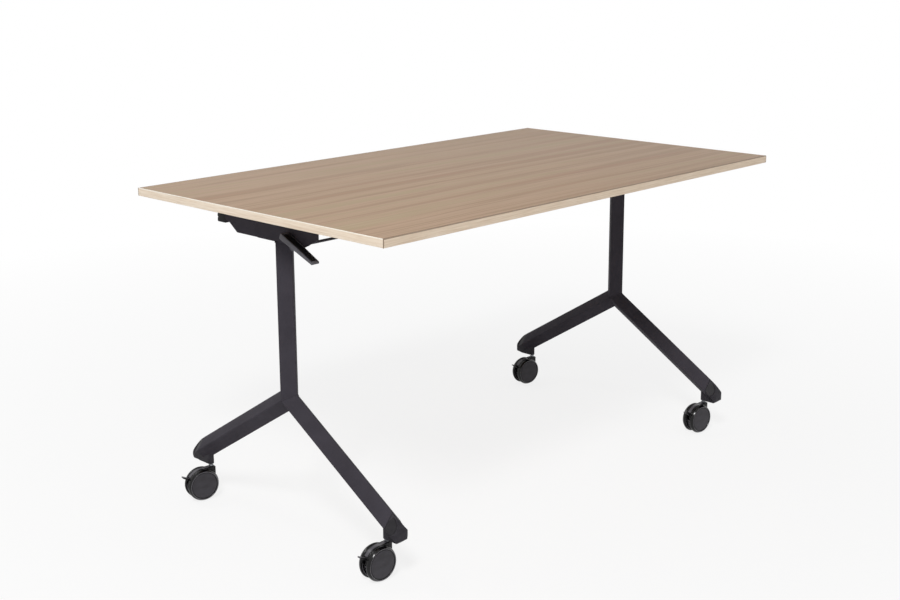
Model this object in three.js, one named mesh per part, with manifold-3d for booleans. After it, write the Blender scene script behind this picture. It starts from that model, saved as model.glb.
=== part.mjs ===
// A flip top training table: a laminated board on two tilting arms, two inverted Y legs of
// square tube set corner forward, a release lever with its rod, and four twin-wheel castors.
// Millimetres. X runs along the board, Y across it, Z up. The origin is on the floor, under
// the middle of the board. The front, where the user stands, is at -Y, and the lever at -X.

import * as THREE from "three";
import { mergeVertices } from "three/addons/utils/BufferGeometryUtils.js";
import Module from "manifold-3d";

const wasm = await Module();
wasm.setup();

const degree = Math.PI / 180;

// The table as a whole
const tableHeight = 740;
const topLength = 1350;
const topDepth = 800;
const boardOverhang = 91;
const stemReach = 299;

// Clearances: flat seats, glued edges, turning fits, and the overrun of every cut
const seatGap = 0.3;
const glueGap = 0.1;
const runningGap = 0.3;
const stopGap = 0.4;
const cutOverrun = 20;
const weldDistance = 0.001;

// The board: particle board faced on both sides, with a thick band on each edge
const boardThickness = 18;
const edgeBandThickness = 2;

// The tube of columns and feet, and the slope of the feet below the level
const tubeHalfDiagonal = 25;
const tubeWall = 2.5;
const footSlope = 32 * degree;
const seamPast = 18;

// The plastic cap on each foot, measured from the castor's stem and from its own sole
const capRise = 44.7;
const capNoseReach = 46;
const capNoseRise = 18;
const capCornerRadius = 16;
const capToeReach = 36;
const capToeRise = 8;
const capBossRadius = 7.5;
const capSpigotLength = 34;
const capSpigotGap = 0.5;
const stemSocketDepth = 30;

// The castor
const wheelRadius = 37.5;
const wheelWidth = 9.8;
const treadRadius = 2;
const rimRadius = 34;
const rimStep = 0.9;
const wheelSideGap = 0.5;
const wheelCoverThickness = 2.6;
const castorTrail = 25;
const castorWebWidth = 16;
const castorWebRadius = 30;
const castorHoodRadius = 37.2;
const castorHeadRise = 38.5;
const castorHeadRadius = 8.5;
const castorHeadLength = 20;
const axleRadius = 4;
const stemRadius = 4;
const stemShow = 6;
const stemSeatDepth = 22;

// The castor's brake tab, in a pocket at the trailing side of the housing
const tabWidth = 10;
const tabThickness = 4.6;
const tabTipThickness = 3;
const tabLength = 30;
const tabPivotReach = 24;
const tabTrunnionRadius = 2.5;
const tabTrunnionLength = 1.6;
const tabPocketInset = 8;
const tabAngle = 28 * degree;
const tabPivotAngle = 28 * degree;

// The folded steel arm under the board, measured from its own top and from the leg's middle
const armSheet = 3;
const armDepth = 54.2;
const armInnerDepth = 21.7;
const armNeckDepth = 35;
const armFrontDepth = 32.7;
const armFrontReach = 142;
const armBackReach = 163;
const armFrontChamfer = 42;
const armBackChamfer = 26;
const armNeckLength = 14;
const armSideGap = 4.5;
const pinLugRadius = 13;

// The buffer behind each arm
const bufferLength = 28;
const bufferWidth = 25;
const bufferDepth = 39;

// The head welded on each column, and the pivot it carries behind the column
const headWidth = 44;
const headCheek = 5;
const headBase = 6;
const headHeight = 54.3;
const headFrontReach = 48;
const headFrontChamfer = 8;
const headTopChamfer = 12;
const headBackChamfer = 12;
const pivotSetback = 60;
const pivotDrop = 14.7;
const pivotPinRadius = 6;
const pinHeadRadius = 9.5;
const pinHeadThickness = 2.2;

// The crossbeam between the heads
const beamWidth = 40;
const beamHeight = 30;
const beamWall = 2;
const beamPlate = 3.5;
const beamPlateWidth = 80;
const beamPlateClearance = 2;
const beamVentRadius = 6;
const beamBoltSpacing = 62;
const boltRadius = 3;
const boltHeadRadius = 5.5;
const boltHeadThickness = 3.6;

// The release rod, its bushes, its pawls and its lever
const rodRadius = 3;
const rodSetforward = 76;
const rodDrop = 54;
const rodRightOverhang = 8;
const rodLugRadius = 10;
const bushRadius = 6;
const bushFlangeRadius = 8.5;
const bushFlangeThickness = 1.5;
const pawlWidth = 8;
const pawlHubRadius = 7;
const noseRise = 19;
const noseThickness = 4;
const noseGap = 0.6;
const noseNeck = 8;
const catchDepth = 5;
const catchBelow = 11;
const catchAbove = 3.5;
const catchSlant = 5;
const leverWidth = 20;
const leverSideGap = 1.2;
const leverHubRadius = 8.5;
const leverHubWidth = 12;
const leverEndBack = 29;
const leverEndRise = 20.5;
const leverLength = 109;
const leverEndThickness = 14;
const leverTipThickness = 5;
const leverTipChamfer = 6;
const leverAngle = 24 * degree;
const leverWall = 5;

// How far each castor has trailed round, counted from +X
const castorTurns = {
  front_left: 175.5 * degree,
  back_left: 167 * degree,
  front_right: 172.5 * degree,
  back_right: 170 * degree,
};

// Heights and places that follow from the sizes above
const legX = topLength / 2 - boardOverhang;
const boardBottom = tableHeight - boardThickness;
const armTop = boardBottom - seatGap;
const webBottom = armTop - armSheet;
const armBottom = armTop - armDepth;
const pivotHeight = webBottom - pivotDrop;
const headTop = webBottom - stopGap;
const headBottom = headTop - headHeight;
const columnTop = headBottom - seatGap;
const rodHeight = armTop - rodDrop;
const castorHeadTop = wheelRadius + castorHeadRise;
const soleHeight = castorHeadTop + stemShow;
const hubHeight = soleHeight + capRise + stemReach * Math.tan(footSlope);
const seamReach = stemReach + seamPast;
const shoeTop = hubHeight - seamReach * Math.tan(footSlope);
const armInnerFace = headWidth / 2 + armSideGap;
const armOuterFace = armInnerFace + armSheet;
const beamTop = armTop - armInnerDepth - beamPlateClearance;
const beamMiddle = beamTop - beamHeight / 2;

// Round shapes are drawn with these numbers of steps
const wheelSteps = 32;
const holeSteps = 16;
const arcSteps = 6;
const browSteps = 8;

// Finishes
const oakLaminate = new THREE.MeshStandardMaterial({ color: 0xb09c85, roughness: 0.5, metalness: 0 });
const paleOakBand = new THREE.MeshStandardMaterial({ color: 0xe0cfb4, roughness: 0.5, metalness: 0 });
const anthracitePowder = new THREE.MeshStandardMaterial({ color: 0x37353a, roughness: 0.55, metalness: 0.2 });
const blackPlastic = new THREE.MeshStandardMaterial({ color: 0x1f1e21, roughness: 0.4, metalness: 0 });
const wheelPlastic = new THREE.MeshStandardMaterial({ color: 0x2a292c, roughness: 0.35, metalness: 0 });
const zincSteel = new THREE.MeshStandardMaterial({ color: 0xc4c6ca, roughness: 0.3, metalness: 1 });
const whiteNylon = new THREE.MeshStandardMaterial({ color: 0xd9d8d2, roughness: 0.5, metalness: 0 });

// Outlines are drawn in two of the three axes and pushed along the third
const drawnInYZ = new THREE.Matrix4().makeBasis(
  new THREE.Vector3(0, 1, 0),
  new THREE.Vector3(0, 0, 1),
  new THREE.Vector3(1, 0, 0),
);
const drawnInXZ = new THREE.Matrix4().makeBasis(
  new THREE.Vector3(1, 0, 0),
  new THREE.Vector3(0, 0, 1),
  new THREE.Vector3(0, -1, 0),
);
const turnedAlongX = new THREE.Matrix4().makeRotationZ(-Math.PI / 2);
const turnedAlongZ = new THREE.Matrix4().makeRotationX(Math.PI / 2);

function outline(points) {
  return new THREE.Shape(points.map(([a, b]) => new THREE.Vector2(a, b)));
}

function pushed(shape, depth) {
  return new THREE.ExtrudeGeometry(shape, { depth, bevelEnabled: false, curveSegments: holeSteps });
}

// A plate with its outline in Y and Z, starting at x and as thick as width
function plateInYZ(shape, width, x) {
  return pushed(shape, width).applyMatrix4(drawnInYZ).translate(x, 0, 0);
}

// A plate with its outline in X and Z, centred on y = 0
function plateInXZ(shape, width) {
  return pushed(shape, width).translate(0, 0, -width / 2).applyMatrix4(drawnInXZ);
}

// Points of an arc about (a, b), ends included
function arc(a, b, radius, from, to, steps = arcSteps) {
  return Array.from({ length: steps + 1 }, (_, i) => {
    const angle = from + ((to - from) * i) / steps;
    return [a + radius * Math.cos(angle), b + radius * Math.sin(angle)];
  });
}

function solidOf(geometry) {
  const bare = geometry.clone();
  bare.deleteAttribute("normal");
  bare.deleteAttribute("uv");
  const merged = mergeVertices(bare, weldDistance);
  return new wasm.Manifold(
    new wasm.Mesh({
      numProp: 3,
      vertProperties: merged.attributes.position.array,
      triVerts: new Uint32Array(merged.index.array),
    }),
  );
}

function geometryOf(solid) {
  const mesh = solid.getMesh();
  const geometry = new THREE.BufferGeometry();
  geometry.setAttribute("position", new THREE.BufferAttribute(mesh.vertProperties, 3));
  geometry.setIndex(new THREE.BufferAttribute(mesh.triVerts, 1));
  const faceted = geometry.toNonIndexed();
  faceted.computeVertexNormals();
  return faceted;
}

function rodAlongX(radius, length, x, y, z) {
  return new THREE.CylinderGeometry(radius, radius, length, holeSteps)
    .applyMatrix4(turnedAlongX)
    .translate(x + length / 2, y, z);
}

function rodAlongY(radius, length) {
  return new THREE.CylinderGeometry(radius, radius, length, holeSteps);
}

function rodAlongZ(radius, length, x, y, z) {
  return new THREE.CylinderGeometry(radius, radius, length, holeSteps)
    .applyMatrix4(turnedAlongZ)
    .translate(x, y, z + length / 2);
}

function block(lowX, highX, lowY, highY, lowZ, highZ) {
  return new THREE.BoxGeometry(highX - lowX, highY - lowY, highZ - lowZ).translate(
    (lowX + highX) / 2,
    (lowY + highY) / 2,
    (lowZ + highZ) / 2,
  );
}

function add(parent, name, geometry, material) {
  const mesh = new THREE.Mesh(geometry, material);
  mesh.name = name;
  parent.add(mesh);
  return mesh;
}

const table = new THREE.Group();

// The board and the four bands glued round it: the long bands run past the short ones
function addTop(parent) {
  const halfX = topLength / 2;
  const halfY = topDepth / 2;
  const coreX = halfX - edgeBandThickness - glueGap;
  const coreY = halfY - edgeBandThickness - glueGap;
  const innerY = halfY - edgeBandThickness;
  const innerX = halfX - edgeBandThickness;
  const shortBandY = innerY - glueGap;
  add(parent, "table_top", block(-coreX, coreX, -coreY, coreY, boardBottom, tableHeight), oakLaminate);
  for (const [name, side] of [["front", -1], ["back", 1]]) {
    const band = block(-halfX, halfX, innerY, halfY, boardBottom, tableHeight);
    add(parent, `edge_band_${name}`, band, paleOakBand).scale.y = side;
  }
  for (const [name, side] of [["left", -1], ["right", 1]]) {
    const band = block(innerX, halfX, -shortBandY, shortBandY, boardBottom, tableHeight);
    add(parent, `edge_band_${name}`, band, paleOakBand).scale.x = side;
  }
}

// A square tube standing on its corner, along Z, from 0 to length
function diamond(halfDiagonal) {
  return outline([[halfDiagonal, 0], [0, halfDiagonal], [-halfDiagonal, 0], [0, -halfDiagonal]]);
}

function diamondTube(length) {
  const shape = diamond(tubeHalfDiagonal);
  shape.holes.push(diamond(tubeHalfDiagonal - tubeWall * Math.SQRT2));
  return pushed(shape, length);
}

// Turns a piece that runs along Z from the hub into the line of a foot, towards +Y and down
function alongFoot(geometry) {
  return geometry.rotateX(-Math.PI / 2 - footSlope).translate(0, 0, hubHeight);
}

// The share of space round the hub between two directions, drawn in by half the mitre's gap
function mitreWedge(from, to) {
  const reach = tableHeight + topDepth;
  const middle = (from + to) / 2;
  const half = (to - from) / 2;
  const inset = seatGap / 2 / Math.sin(half);
  const y = inset * Math.cos(middle);
  const z = hubHeight + inset * Math.sin(middle);
  const shape = outline([
    [y, z],
    [y + reach * Math.cos(from), z + reach * Math.sin(from)],
    [y + reach * Math.cos(middle), z + reach * Math.sin(middle)],
    [y + reach * Math.cos(to), z + reach * Math.sin(to)],
  ]);
  const halfWidth = tubeHalfDiagonal + cutOverrun;
  return solidOf(plateInYZ(shape, 2 * halfWidth, -halfWidth));
}

const columnToFoot = Math.PI / 4 - footSlope / 2;

function columnGeometry() {
  const start = hubHeight - 2 * tubeHalfDiagonal;
  const tube = diamondTube(columnTop - start).translate(0, 0, start);
  return geometryOf(solidOf(tube).intersect(mitreWedge(columnToFoot, Math.PI - columnToFoot)));
}

// The foot's tube is cut upright at its end, and notched below for the cap's boss
function footGeometry() {
  const start = 2 * tubeHalfDiagonal;
  const length = start + (seamReach + start) / Math.cos(footSlope);
  const tube = alongFoot(diamondTube(length).translate(0, 0, -start));
  const half = tubeHalfDiagonal + cutOverrun;
  const kept = block(-half, half, -half, seamReach, 0, tableHeight);
  const notch = shoeBlock(seatGap, shoeTop + seatGap);
  const foot = solidOf(tube).intersect(mitreWedge(-Math.PI / 2, columnToFoot));
  return geometryOf(foot.intersect(solidOf(kept)).subtract(notch));
}

// The shoe under the cap: round the stem on the hub's side, and as wide up to the toe
function shoeBlock(offset, top) {
  const radius = capBossRadius + offset;
  const toe = stemReach + capToeReach;
  const shape = outline([
    ...arc(0, stemReach, radius, Math.PI, 2 * Math.PI, holeSteps / 2),
    [radius, toe],
    [-radius, toe],
  ]);
  return solidOf(pushed(shape, top - soleHeight + cutOverrun).translate(0, 0, soleHeight - cutOverrun));
}

// The nose carries on the tube's section, a shoe below it takes the stem, a spigot plugs the tube
function capGeometry() {
  const half = tubeHalfDiagonal + cutOverrun;
  const far = seamReach + capNoseReach + cutOverrun;
  const length = 2 * far;
  const front = seamReach + seatGap;
  const ahead = block(-half, half, front, far, 0, tableHeight);
  const inside = tubeHalfDiagonal - tubeWall * Math.SQRT2 - capSpigotGap;
  const plugged = block(-half, half, front - capSpigotLength, front + seatGap, 0, tableHeight);
  const nose = solidOf(alongFoot(pushed(diamond(tubeHalfDiagonal), length))).intersect(solidOf(ahead));
  const spigot = solidOf(alongFoot(pushed(diamond(inside), length))).intersect(solidOf(plugged));
  const socketLength = stemSocketDepth + cutOverrun;
  const socket = rodAlongZ(stemRadius + runningGap, socketLength, 0, stemReach, soleHeight - cutOverrun);
  const whole = nose.add(shoeBlock(0, shoeTop)).add(spigot);
  return geometryOf(whole.intersect(capSide()).intersect(capPlan()).subtract(solidOf(socket)));
}

// The height of the foot's top edge at a distance from the hub
function ridgeHeight(reach) {
  return hubHeight + tubeHalfDiagonal / Math.cos(footSlope) - reach * Math.tan(footSlope);
}

// The cap seen from the end of the table: a flat sole, a short toe, an upright nose and a round brow
function capSide() {
  const nose = stemReach + capNoseReach;
  const brow = new THREE.QuadraticBezierCurve(
    new THREE.Vector2(nose, soleHeight + capNoseRise),
    new THREE.Vector2(nose, ridgeHeight(nose)),
    new THREE.Vector2(seamReach, ridgeHeight(seamReach)),
  );
  const shape = outline([
    [0, soleHeight],
    [stemReach + capToeReach, soleHeight],
    [nose, soleHeight + capToeRise],
    ...brow.getPoints(browSteps).map((point) => point.toArray()),
    [0, tableHeight],
  ]);
  const halfWidth = tubeHalfDiagonal + cutOverrun;
  return solidOf(plateInYZ(shape, 2 * halfWidth, -halfWidth));
}

// The cap seen from above: as wide as the tube, with a round corner on each side of the nose
function capPlan() {
  const halfFlat = tubeHalfDiagonal - capCornerRadius;
  const start = stemReach + capNoseReach - capCornerRadius;
  const shape = outline([
    [-tubeHalfDiagonal, 0],
    [tubeHalfDiagonal, 0],
    ...arc(halfFlat, start, capCornerRadius, 0, Math.PI / 2),
    ...arc(-halfFlat, start, capCornerRadius, Math.PI / 2, Math.PI),
  ]);
  return solidOf(pushed(shape, tableHeight));
}

// The head: a base on the column's end and two cheeks, with the catch in front and the pivot behind
function headOutline() {
  const rise = headTop - pivotHeight;
  const catchTop = rodHeight + noseRise + catchAbove;
  const catchFoot = rodHeight + noseRise - catchBelow;
  const shape = outline([
    [-headFrontReach + headFrontChamfer, headBottom],
    [pivotSetback + rise - headBackChamfer, headBottom],
    [pivotSetback + rise, headBottom + headBackChamfer],
    ...arc(pivotSetback, pivotHeight, rise, 0, Math.PI / 2),
    [-headFrontReach + headTopChamfer, headTop],
    [-headFrontReach, headTop - headTopChamfer],
    [-headFrontReach, catchTop],
    [-headFrontReach + catchDepth, catchTop - catchSlant],
    [-headFrontReach + catchDepth, catchFoot],
    [-headFrontReach, catchFoot],
    [-headFrontReach, headBottom + headFrontChamfer],
  ]);
  const hole = new THREE.Path();
  hole.absarc(pivotSetback, pivotHeight, pivotPinRadius + runningGap, 0, 2 * Math.PI);
  shape.holes.push(hole);
  return shape;
}

function headGeometry() {
  const half = headWidth / 2;
  const channel = block(
    -half + headCheek,
    half - headCheek,
    -headFrontReach - cutOverrun,
    pivotSetback + pivotDrop + cutOverrun,
    headBottom + headBase,
    headTop + cutOverrun,
  );
  let head = solidOf(plateInYZ(headOutline(), headWidth, -half)).subtract(solidOf(channel));
  for (const side of [-1, 1]) {
    const place = (side * beamBoltSpacing) / 2;
    const hole = rodAlongX(boltRadius + runningGap, half, half - headCheek * 2, place, beamMiddle);
    head = head.subtract(solidOf(hole));
  }
  return geometryOf(head);
}

// A riveted pin through both flanges of the arm and both cheeks of the head
function pivotPinGeometry() {
  const half = armOuterFace + runningGap;
  const end = half + pinHeadThickness;
  const profile = [
    [0, -end],
    [pinHeadRadius - pinHeadThickness, -end],
    [pinHeadRadius, -half],
    [pivotPinRadius, -half],
    [pivotPinRadius, half],
    [pinHeadRadius, half],
    [pinHeadRadius - pinHeadThickness, end],
    [0, end],
  ].map(([r, y]) => new THREE.Vector2(r, y));
  return new THREE.LatheGeometry(profile, holeSteps)
    .applyMatrix4(turnedAlongX)
    .translate(0, pivotSetback, pivotHeight);
}

// The arm's deep outer flange: chamfered ends, a neck at the back, lugs for the pin and the rod
function outerFlangeGeometry() {
  const shape = outline([
    [-armFrontReach, armTop],
    [-armFrontReach, armTop - armFrontDepth],
    [-armFrontReach + armFrontChamfer, armBottom],
    [armBackReach - armNeckLength - armBackChamfer, armBottom],
    [armBackReach - armNeckLength, armTop - armNeckDepth],
    [armBackReach, armTop - armNeckDepth],
    [armBackReach, armTop],
  ]);
  const flange = solidOf(plateInYZ(shape, armSheet, -armOuterFace));
  const lug = rodAlongX(rodLugRadius, armSheet, -armOuterFace, -rodSetforward, rodHeight);
  return flange.add(solidOf(lug));
}

// The shallow inner flange stays above the crossbeam and drops only round the pin
function innerFlangeGeometry() {
  const flange = block(
    armInnerFace,
    armOuterFace,
    -armFrontReach,
    armBackReach,
    armTop - armInnerDepth,
    armTop,
  );
  const lug = rodAlongX(pinLugRadius, armSheet, armInnerFace, pivotSetback, pivotHeight);
  return solidOf(flange).add(solidOf(lug));
}

function armGeometry() {
  const web = block(-armOuterFace, armOuterFace, -armFrontReach, armBackReach, webBottom, armTop);
  const width = 2 * (armOuterFace + cutOverrun);
  const start = -armOuterFace - cutOverrun;
  const pinHole = rodAlongX(pivotPinRadius + runningGap, width, start, pivotSetback, pivotHeight);
  const bushHole = rodAlongX(bushRadius + runningGap, 2 * cutOverrun, start, -rodSetforward, rodHeight);
  return geometryOf(
    solidOf(web)
      .add(outerFlangeGeometry())
      .add(innerFlangeGeometry())
      .subtract(solidOf(pinHole))
      .subtract(solidOf(bushHole)),
  );
}

function bufferGeometry() {
  const start = armBackReach + seatGap;
  const end = start + bufferLength;
  return block(-armOuterFace, -armOuterFace + bufferWidth, start, end, armTop - bufferDepth, armTop);
}

// A plain nylon bush in the arm's lug, its flange on the inner side
function bushGeometry() {
  const bore = rodRadius + runningGap;
  const flangeStart = armSheet + seatGap;
  const flangeEnd = flangeStart + bushFlangeThickness;
  const profile = [
    [bore, 0],
    [bushRadius, 0],
    [bushRadius, flangeStart],
    [bushFlangeRadius, flangeStart],
    [bushFlangeRadius, flangeEnd],
    [bore, flangeEnd],
    [bore, 0],
  ].map(([r, y]) => new THREE.Vector2(r, y));
  return new THREE.LatheGeometry(profile, holeSteps)
    .rotateZ(-Math.PI / 2)
    .translate(-armOuterFace, -rodSetforward, rodHeight);
}

// The pawl: a hub keyed on the rod and a finger whose nose stands at the mouth of the catch
function pawlGeometry() {
  const tip = rodSetforward - headFrontReach - noseGap;
  const low = noseRise - noseThickness / 2;
  const high = noseRise + noseThickness / 2;
  const finger = outline(
    [
      [-pawlHubRadius, 0],
      [pawlHubRadius, 0],
      [noseNeck, low],
      [tip, low],
      [tip, high],
      [0, high],
    ].map(([y, z]) => [y - rodSetforward, z + rodHeight]),
  );
  const x = -headWidth / 2 + headCheek / 2 - pawlWidth / 2;
  const hub = rodAlongX(pawlHubRadius, pawlWidth, x, -rodSetforward, rodHeight);
  const length = pawlWidth + 2 * cutOverrun;
  const bore = rodAlongX(rodRadius + runningGap, length, x - cutOverrun, -rodSetforward, rodHeight);
  const body = solidOf(plateInYZ(finger, pawlWidth, x)).add(solidOf(hub));
  return geometryOf(body.subtract(solidOf(bore)));
}

// The lever: a tapering paddle, thick at its inner end, with a blind hub on the end of the rod
function leverGeometry() {
  const along = [-Math.cos(leverAngle), -Math.sin(leverAngle)];
  const across = [-Math.sin(leverAngle), Math.cos(leverAngle)];
  const at = (distance, offset) => [
    leverEndBack - rodSetforward + distance * along[0] + offset * across[0],
    leverEndRise + rodHeight + distance * along[1] + offset * across[1],
  ];
  const thick = leverEndThickness / 2;
  const thin = leverTipThickness / 2;
  const shape = outline([
    at(0, -thick),
    at(0, thick),
    at(leverLength - leverTipChamfer, thin),
    at(leverLength, thin - leverTipChamfer / 2),
    at(leverLength, -thin),
  ]);
  const inner = -armOuterFace - leverSideGap;
  const blade = plateInYZ(shape, leverWidth, inner - leverWidth);
  const hub = rodAlongX(leverHubRadius, leverHubWidth, inner - leverHubWidth, -rodSetforward, rodHeight);
  const boreDepth = leverWidth - leverWall;
  const bore = rodAlongX(
    rodRadius + runningGap,
    boreDepth + cutOverrun,
    inner - boreDepth,
    -rodSetforward,
    rodHeight,
  );
  return geometryOf(solidOf(blade).add(solidOf(hub)).subtract(solidOf(bore)));
}

// The rod runs from the lever's blind hub through both bushes
function rodGeometry() {
  const left = -legX - armOuterFace - leverSideGap - leverWidth + leverWall + seatGap;
  const right = legX + armOuterFace + rodRightOverhang;
  return rodAlongX(rodRadius, right - left, left, -rodSetforward, rodHeight);
}

// The crossbeam: a tube with a plate welded on each end, vented through the plates
function beamGeometry() {
  const end = legX - headWidth / 2 - seatGap;
  const plateStart = end - beamPlate;
  const halfY = beamWidth / 2;
  const bottom = beamTop - beamHeight;
  const halfPlate = beamPlateWidth / 2;
  const innerY = halfY - beamWall;
  let beam = solidOf(block(-plateStart, plateStart, -halfY, halfY, bottom, beamTop)).subtract(
    solidOf(block(-plateStart, plateStart, -innerY, innerY, bottom + beamWall, beamTop - beamWall)),
  );
  for (const side of [-1, 1]) {
    const low = side < 0 ? -end : plateStart;
    beam = beam.add(solidOf(block(low, low + beamPlate, -halfPlate, halfPlate, bottom, beamTop)));
    const bore = [low - cutOverrun, beamPlate + 2 * cutOverrun];
    beam = beam.subtract(solidOf(rodAlongX(beamVentRadius, bore[1], bore[0], 0, beamMiddle)));
    for (const row of [-1, 1]) {
      const y = (row * beamBoltSpacing) / 2;
      const hole = rodAlongX(boltRadius + runningGap, bore[1], bore[0], y, beamMiddle);
      beam = beam.subtract(solidOf(hole));
    }
  }
  return geometryOf(beam);
}

// A bolt through the beam's plate and the head's inner cheek
function beamBoltGeometry() {
  const seat = headWidth / 2 + seatGap + beamPlate + seatGap;
  const tip = headWidth / 2 - headCheek;
  const head = seat + boltHeadThickness;
  const profile = [
    [0, tip],
    [boltRadius, tip],
    [boltRadius, seat],
    [boltHeadRadius, seat],
    [boltHeadRadius, head],
    [0, head],
  ].map(([r, y]) => new THREE.Vector2(r, y));
  return new THREE.LatheGeometry(profile, holeSteps).rotateZ(-Math.PI / 2).translate(0, 0, beamMiddle);
}

// Each leg is drawn on x = 0 with its outer side at -X, and mirrored for the other end
function addLeg(parent, side, sign) {
  const leg = new THREE.Group();
  leg.position.x = sign * legX;
  leg.scale.x = -sign;
  parent.add(leg);
  add(leg, `column_${side}`, columnGeometry(), anthracitePowder);
  add(leg, `pivot_head_${side}`, headGeometry(), anthracitePowder);
  add(leg, `pivot_pin_${side}`, pivotPinGeometry(), anthracitePowder);
  for (const [end, way] of [["front", -1], ["back", 1]]) {
    const foot = new THREE.Group();
    foot.scale.y = way;
    leg.add(foot);
    add(foot, `foot_${end}_${side}`, footGeometry(), anthracitePowder);
    add(foot, `foot_cap_${end}_${side}`, capGeometry(), blackPlastic);
    const bolt = add(leg, `beam_bolt_${end}_${side}`, beamBoltGeometry(), zincSteel);
    bolt.position.y = (way * beamBoltSpacing) / 2;
  }
}

function addArm(parent, side, sign) {
  const arm = new THREE.Group();
  arm.position.x = sign * legX;
  arm.scale.x = -sign;
  parent.add(arm);
  add(arm, `tilt_arm_${side}`, armGeometry(), anthracitePowder);
  add(arm, `arm_buffer_${side}`, bufferGeometry(), blackPlastic);
  add(arm, `rod_bush_${side}`, bushGeometry(), whiteNylon);
  add(arm, `latch_pawl_${side}`, pawlGeometry(), zincSteel);
}

// A castor wheel about Y, its open side towards the housing and a cover over the axle's end
function wheelGeometry() {
  const inner = castorWebWidth / 2 + wheelSideGap;
  const outer = inner + wheelWidth;
  const bore = axleRadius + runningGap;
  const radius = wheelRadius / Math.cos(Math.PI / wheelSteps);
  const profile = [
    [0, outer - wheelCoverThickness],
    [bore, outer - wheelCoverThickness],
    [bore, inner],
    [radius - treadRadius, inner],
    [radius, inner + treadRadius],
    [radius, outer - treadRadius],
    [rimRadius, outer],
    [rimRadius - rimStep, outer - rimStep],
    [0, outer - rimStep],
  ].map(([r, y]) => new THREE.Vector2(r, y));
  return new THREE.LatheGeometry(profile, wheelSteps, Math.PI / wheelSteps);
}

// The housing's web between the wheels, with the hood over them and the head round the stem
function housingOutline() {
  const top = castorHeadTop;
  const back = castorHeadRadius;
  const hood = arc(castorTrail, wheelRadius, castorHoodRadius, 12 * degree, 105 * degree, 10);
  const foot = arc(castorTrail, wheelRadius, castorWebRadius, 160 * degree, 360 * degree, 14);
  return outline([...hood, [back, top], [-back, top], [-back, top - castorHeadLength], ...foot]);
}

function tabPivot() {
  return [
    castorTrail + tabPivotReach * Math.cos(tabPivotAngle),
    wheelRadius + tabPivotReach * Math.sin(tabPivotAngle),
  ];
}

function housingGeometry() {
  const [pivotX, pivotZ] = tabPivot();
  const half = castorWebWidth / 2;
  const wheelRoom = wheelRadius + 2 * wheelSideGap;
  const head = rodAlongZ(castorHeadRadius, castorHeadLength, 0, 0, castorHeadTop - castorHeadLength);
  const room = rodAlongY(wheelRoom, wheelWidth);
  let outside = solidOf(head);
  for (const side of [-1, 1]) {
    const y = side * (half + wheelWidth / 2);
    outside = outside.subtract(solidOf(room.clone().translate(castorTrail, y, wheelRadius)));
  }
  const reach = castorTrail + castorHoodRadius + cutOverrun;
  const inset = tabPivotReach - tabPocketInset;
  const pocket = outline([
    [castorTrail + inset, wheelRadius - tabThickness],
    [reach, wheelRadius - tabThickness],
    [reach, wheelRadius + castorHoodRadius],
    [pivotX, wheelRadius + castorHoodRadius],
    [castorTrail + inset - tabThickness, pivotZ],
  ]);
  const across = 2 * castorWebWidth;
  const axleBore = rodAlongY(axleRadius + runningGap, across).translate(castorTrail, 0, wheelRadius);
  const trunnionBore = rodAlongY(tabTrunnionRadius + runningGap, across).translate(pivotX, 0, pivotZ);
  const stemBore = rodAlongZ(
    stemRadius + runningGap,
    stemSeatDepth + cutOverrun,
    0,
    0,
    castorHeadTop - stemSeatDepth,
  );
  return geometryOf(
    solidOf(plateInXZ(housingOutline(), castorWebWidth))
      .add(outside)
      .subtract(solidOf(plateInXZ(pocket, tabWidth + 2 * runningGap)))
      .subtract(solidOf(axleBore))
      .subtract(solidOf(trunnionBore))
      .subtract(solidOf(stemBore)),
  );
}

// The brake tab: a small paddle on two trunnions, its tip standing out past the wheels
function brakeTabGeometry() {
  const [pivotX, pivotZ] = tabPivot();
  const along = [Math.cos(tabAngle), Math.sin(tabAngle)];
  const at = (distance, offset) => [
    pivotX + distance * along[0] - offset * along[1],
    pivotZ + distance * along[1] + offset * along[0],
  ];
  const thick = tabThickness / 2;
  const thin = tabTipThickness / 2;
  const paddle = outline([at(0, -thick), at(tabLength, -thin), at(tabLength, thin), at(0, thick)]);
  const hub = rodAlongY(thick + tabTrunnionRadius / 2, tabWidth).translate(pivotX, 0, pivotZ);
  const trunnions = rodAlongY(tabTrunnionRadius, tabWidth + 2 * tabTrunnionLength);
  return geometryOf(
    solidOf(plateInXZ(paddle, tabWidth))
      .add(solidOf(hub))
      .add(solidOf(trunnions.translate(pivotX, 0, pivotZ))),
  );
}

function axleGeometry() {
  const half = castorWebWidth / 2 + wheelSideGap + wheelWidth - wheelCoverThickness - runningGap;
  return rodAlongY(axleRadius, 2 * half).translate(castorTrail, 0, wheelRadius);
}

// The stem stands in the housing's head and runs up into the cap's socket
function stemGeometry() {
  const low = castorHeadTop - stemSeatDepth + seatGap;
  const high = soleHeight + stemSocketDepth - seatGap;
  return rodAlongZ(stemRadius, high - low, 0, 0, low);
}

function addCastor(parent, place, x, y) {
  const castor = new THREE.Group();
  castor.position.set(x, y, 0);
  castor.rotation.z = castorTurns[place];
  parent.add(castor);
  add(castor, `castor_stem_${place}`, stemGeometry(), zincSteel);
  add(castor, `castor_housing_${place}`, housingGeometry(), blackPlastic);
  add(castor, `castor_axle_${place}`, axleGeometry(), zincSteel);
  add(castor, `brake_tab_${place}`, brakeTabGeometry(), blackPlastic);
  for (const [name, side] of [["wheel_a", 1], ["wheel_b", -1]]) {
    const wheel = add(castor, `${name}_${place}`, wheelGeometry(), wheelPlastic);
    wheel.position.set(castorTrail, 0, wheelRadius);
    wheel.scale.y = side;
  }
}

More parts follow.
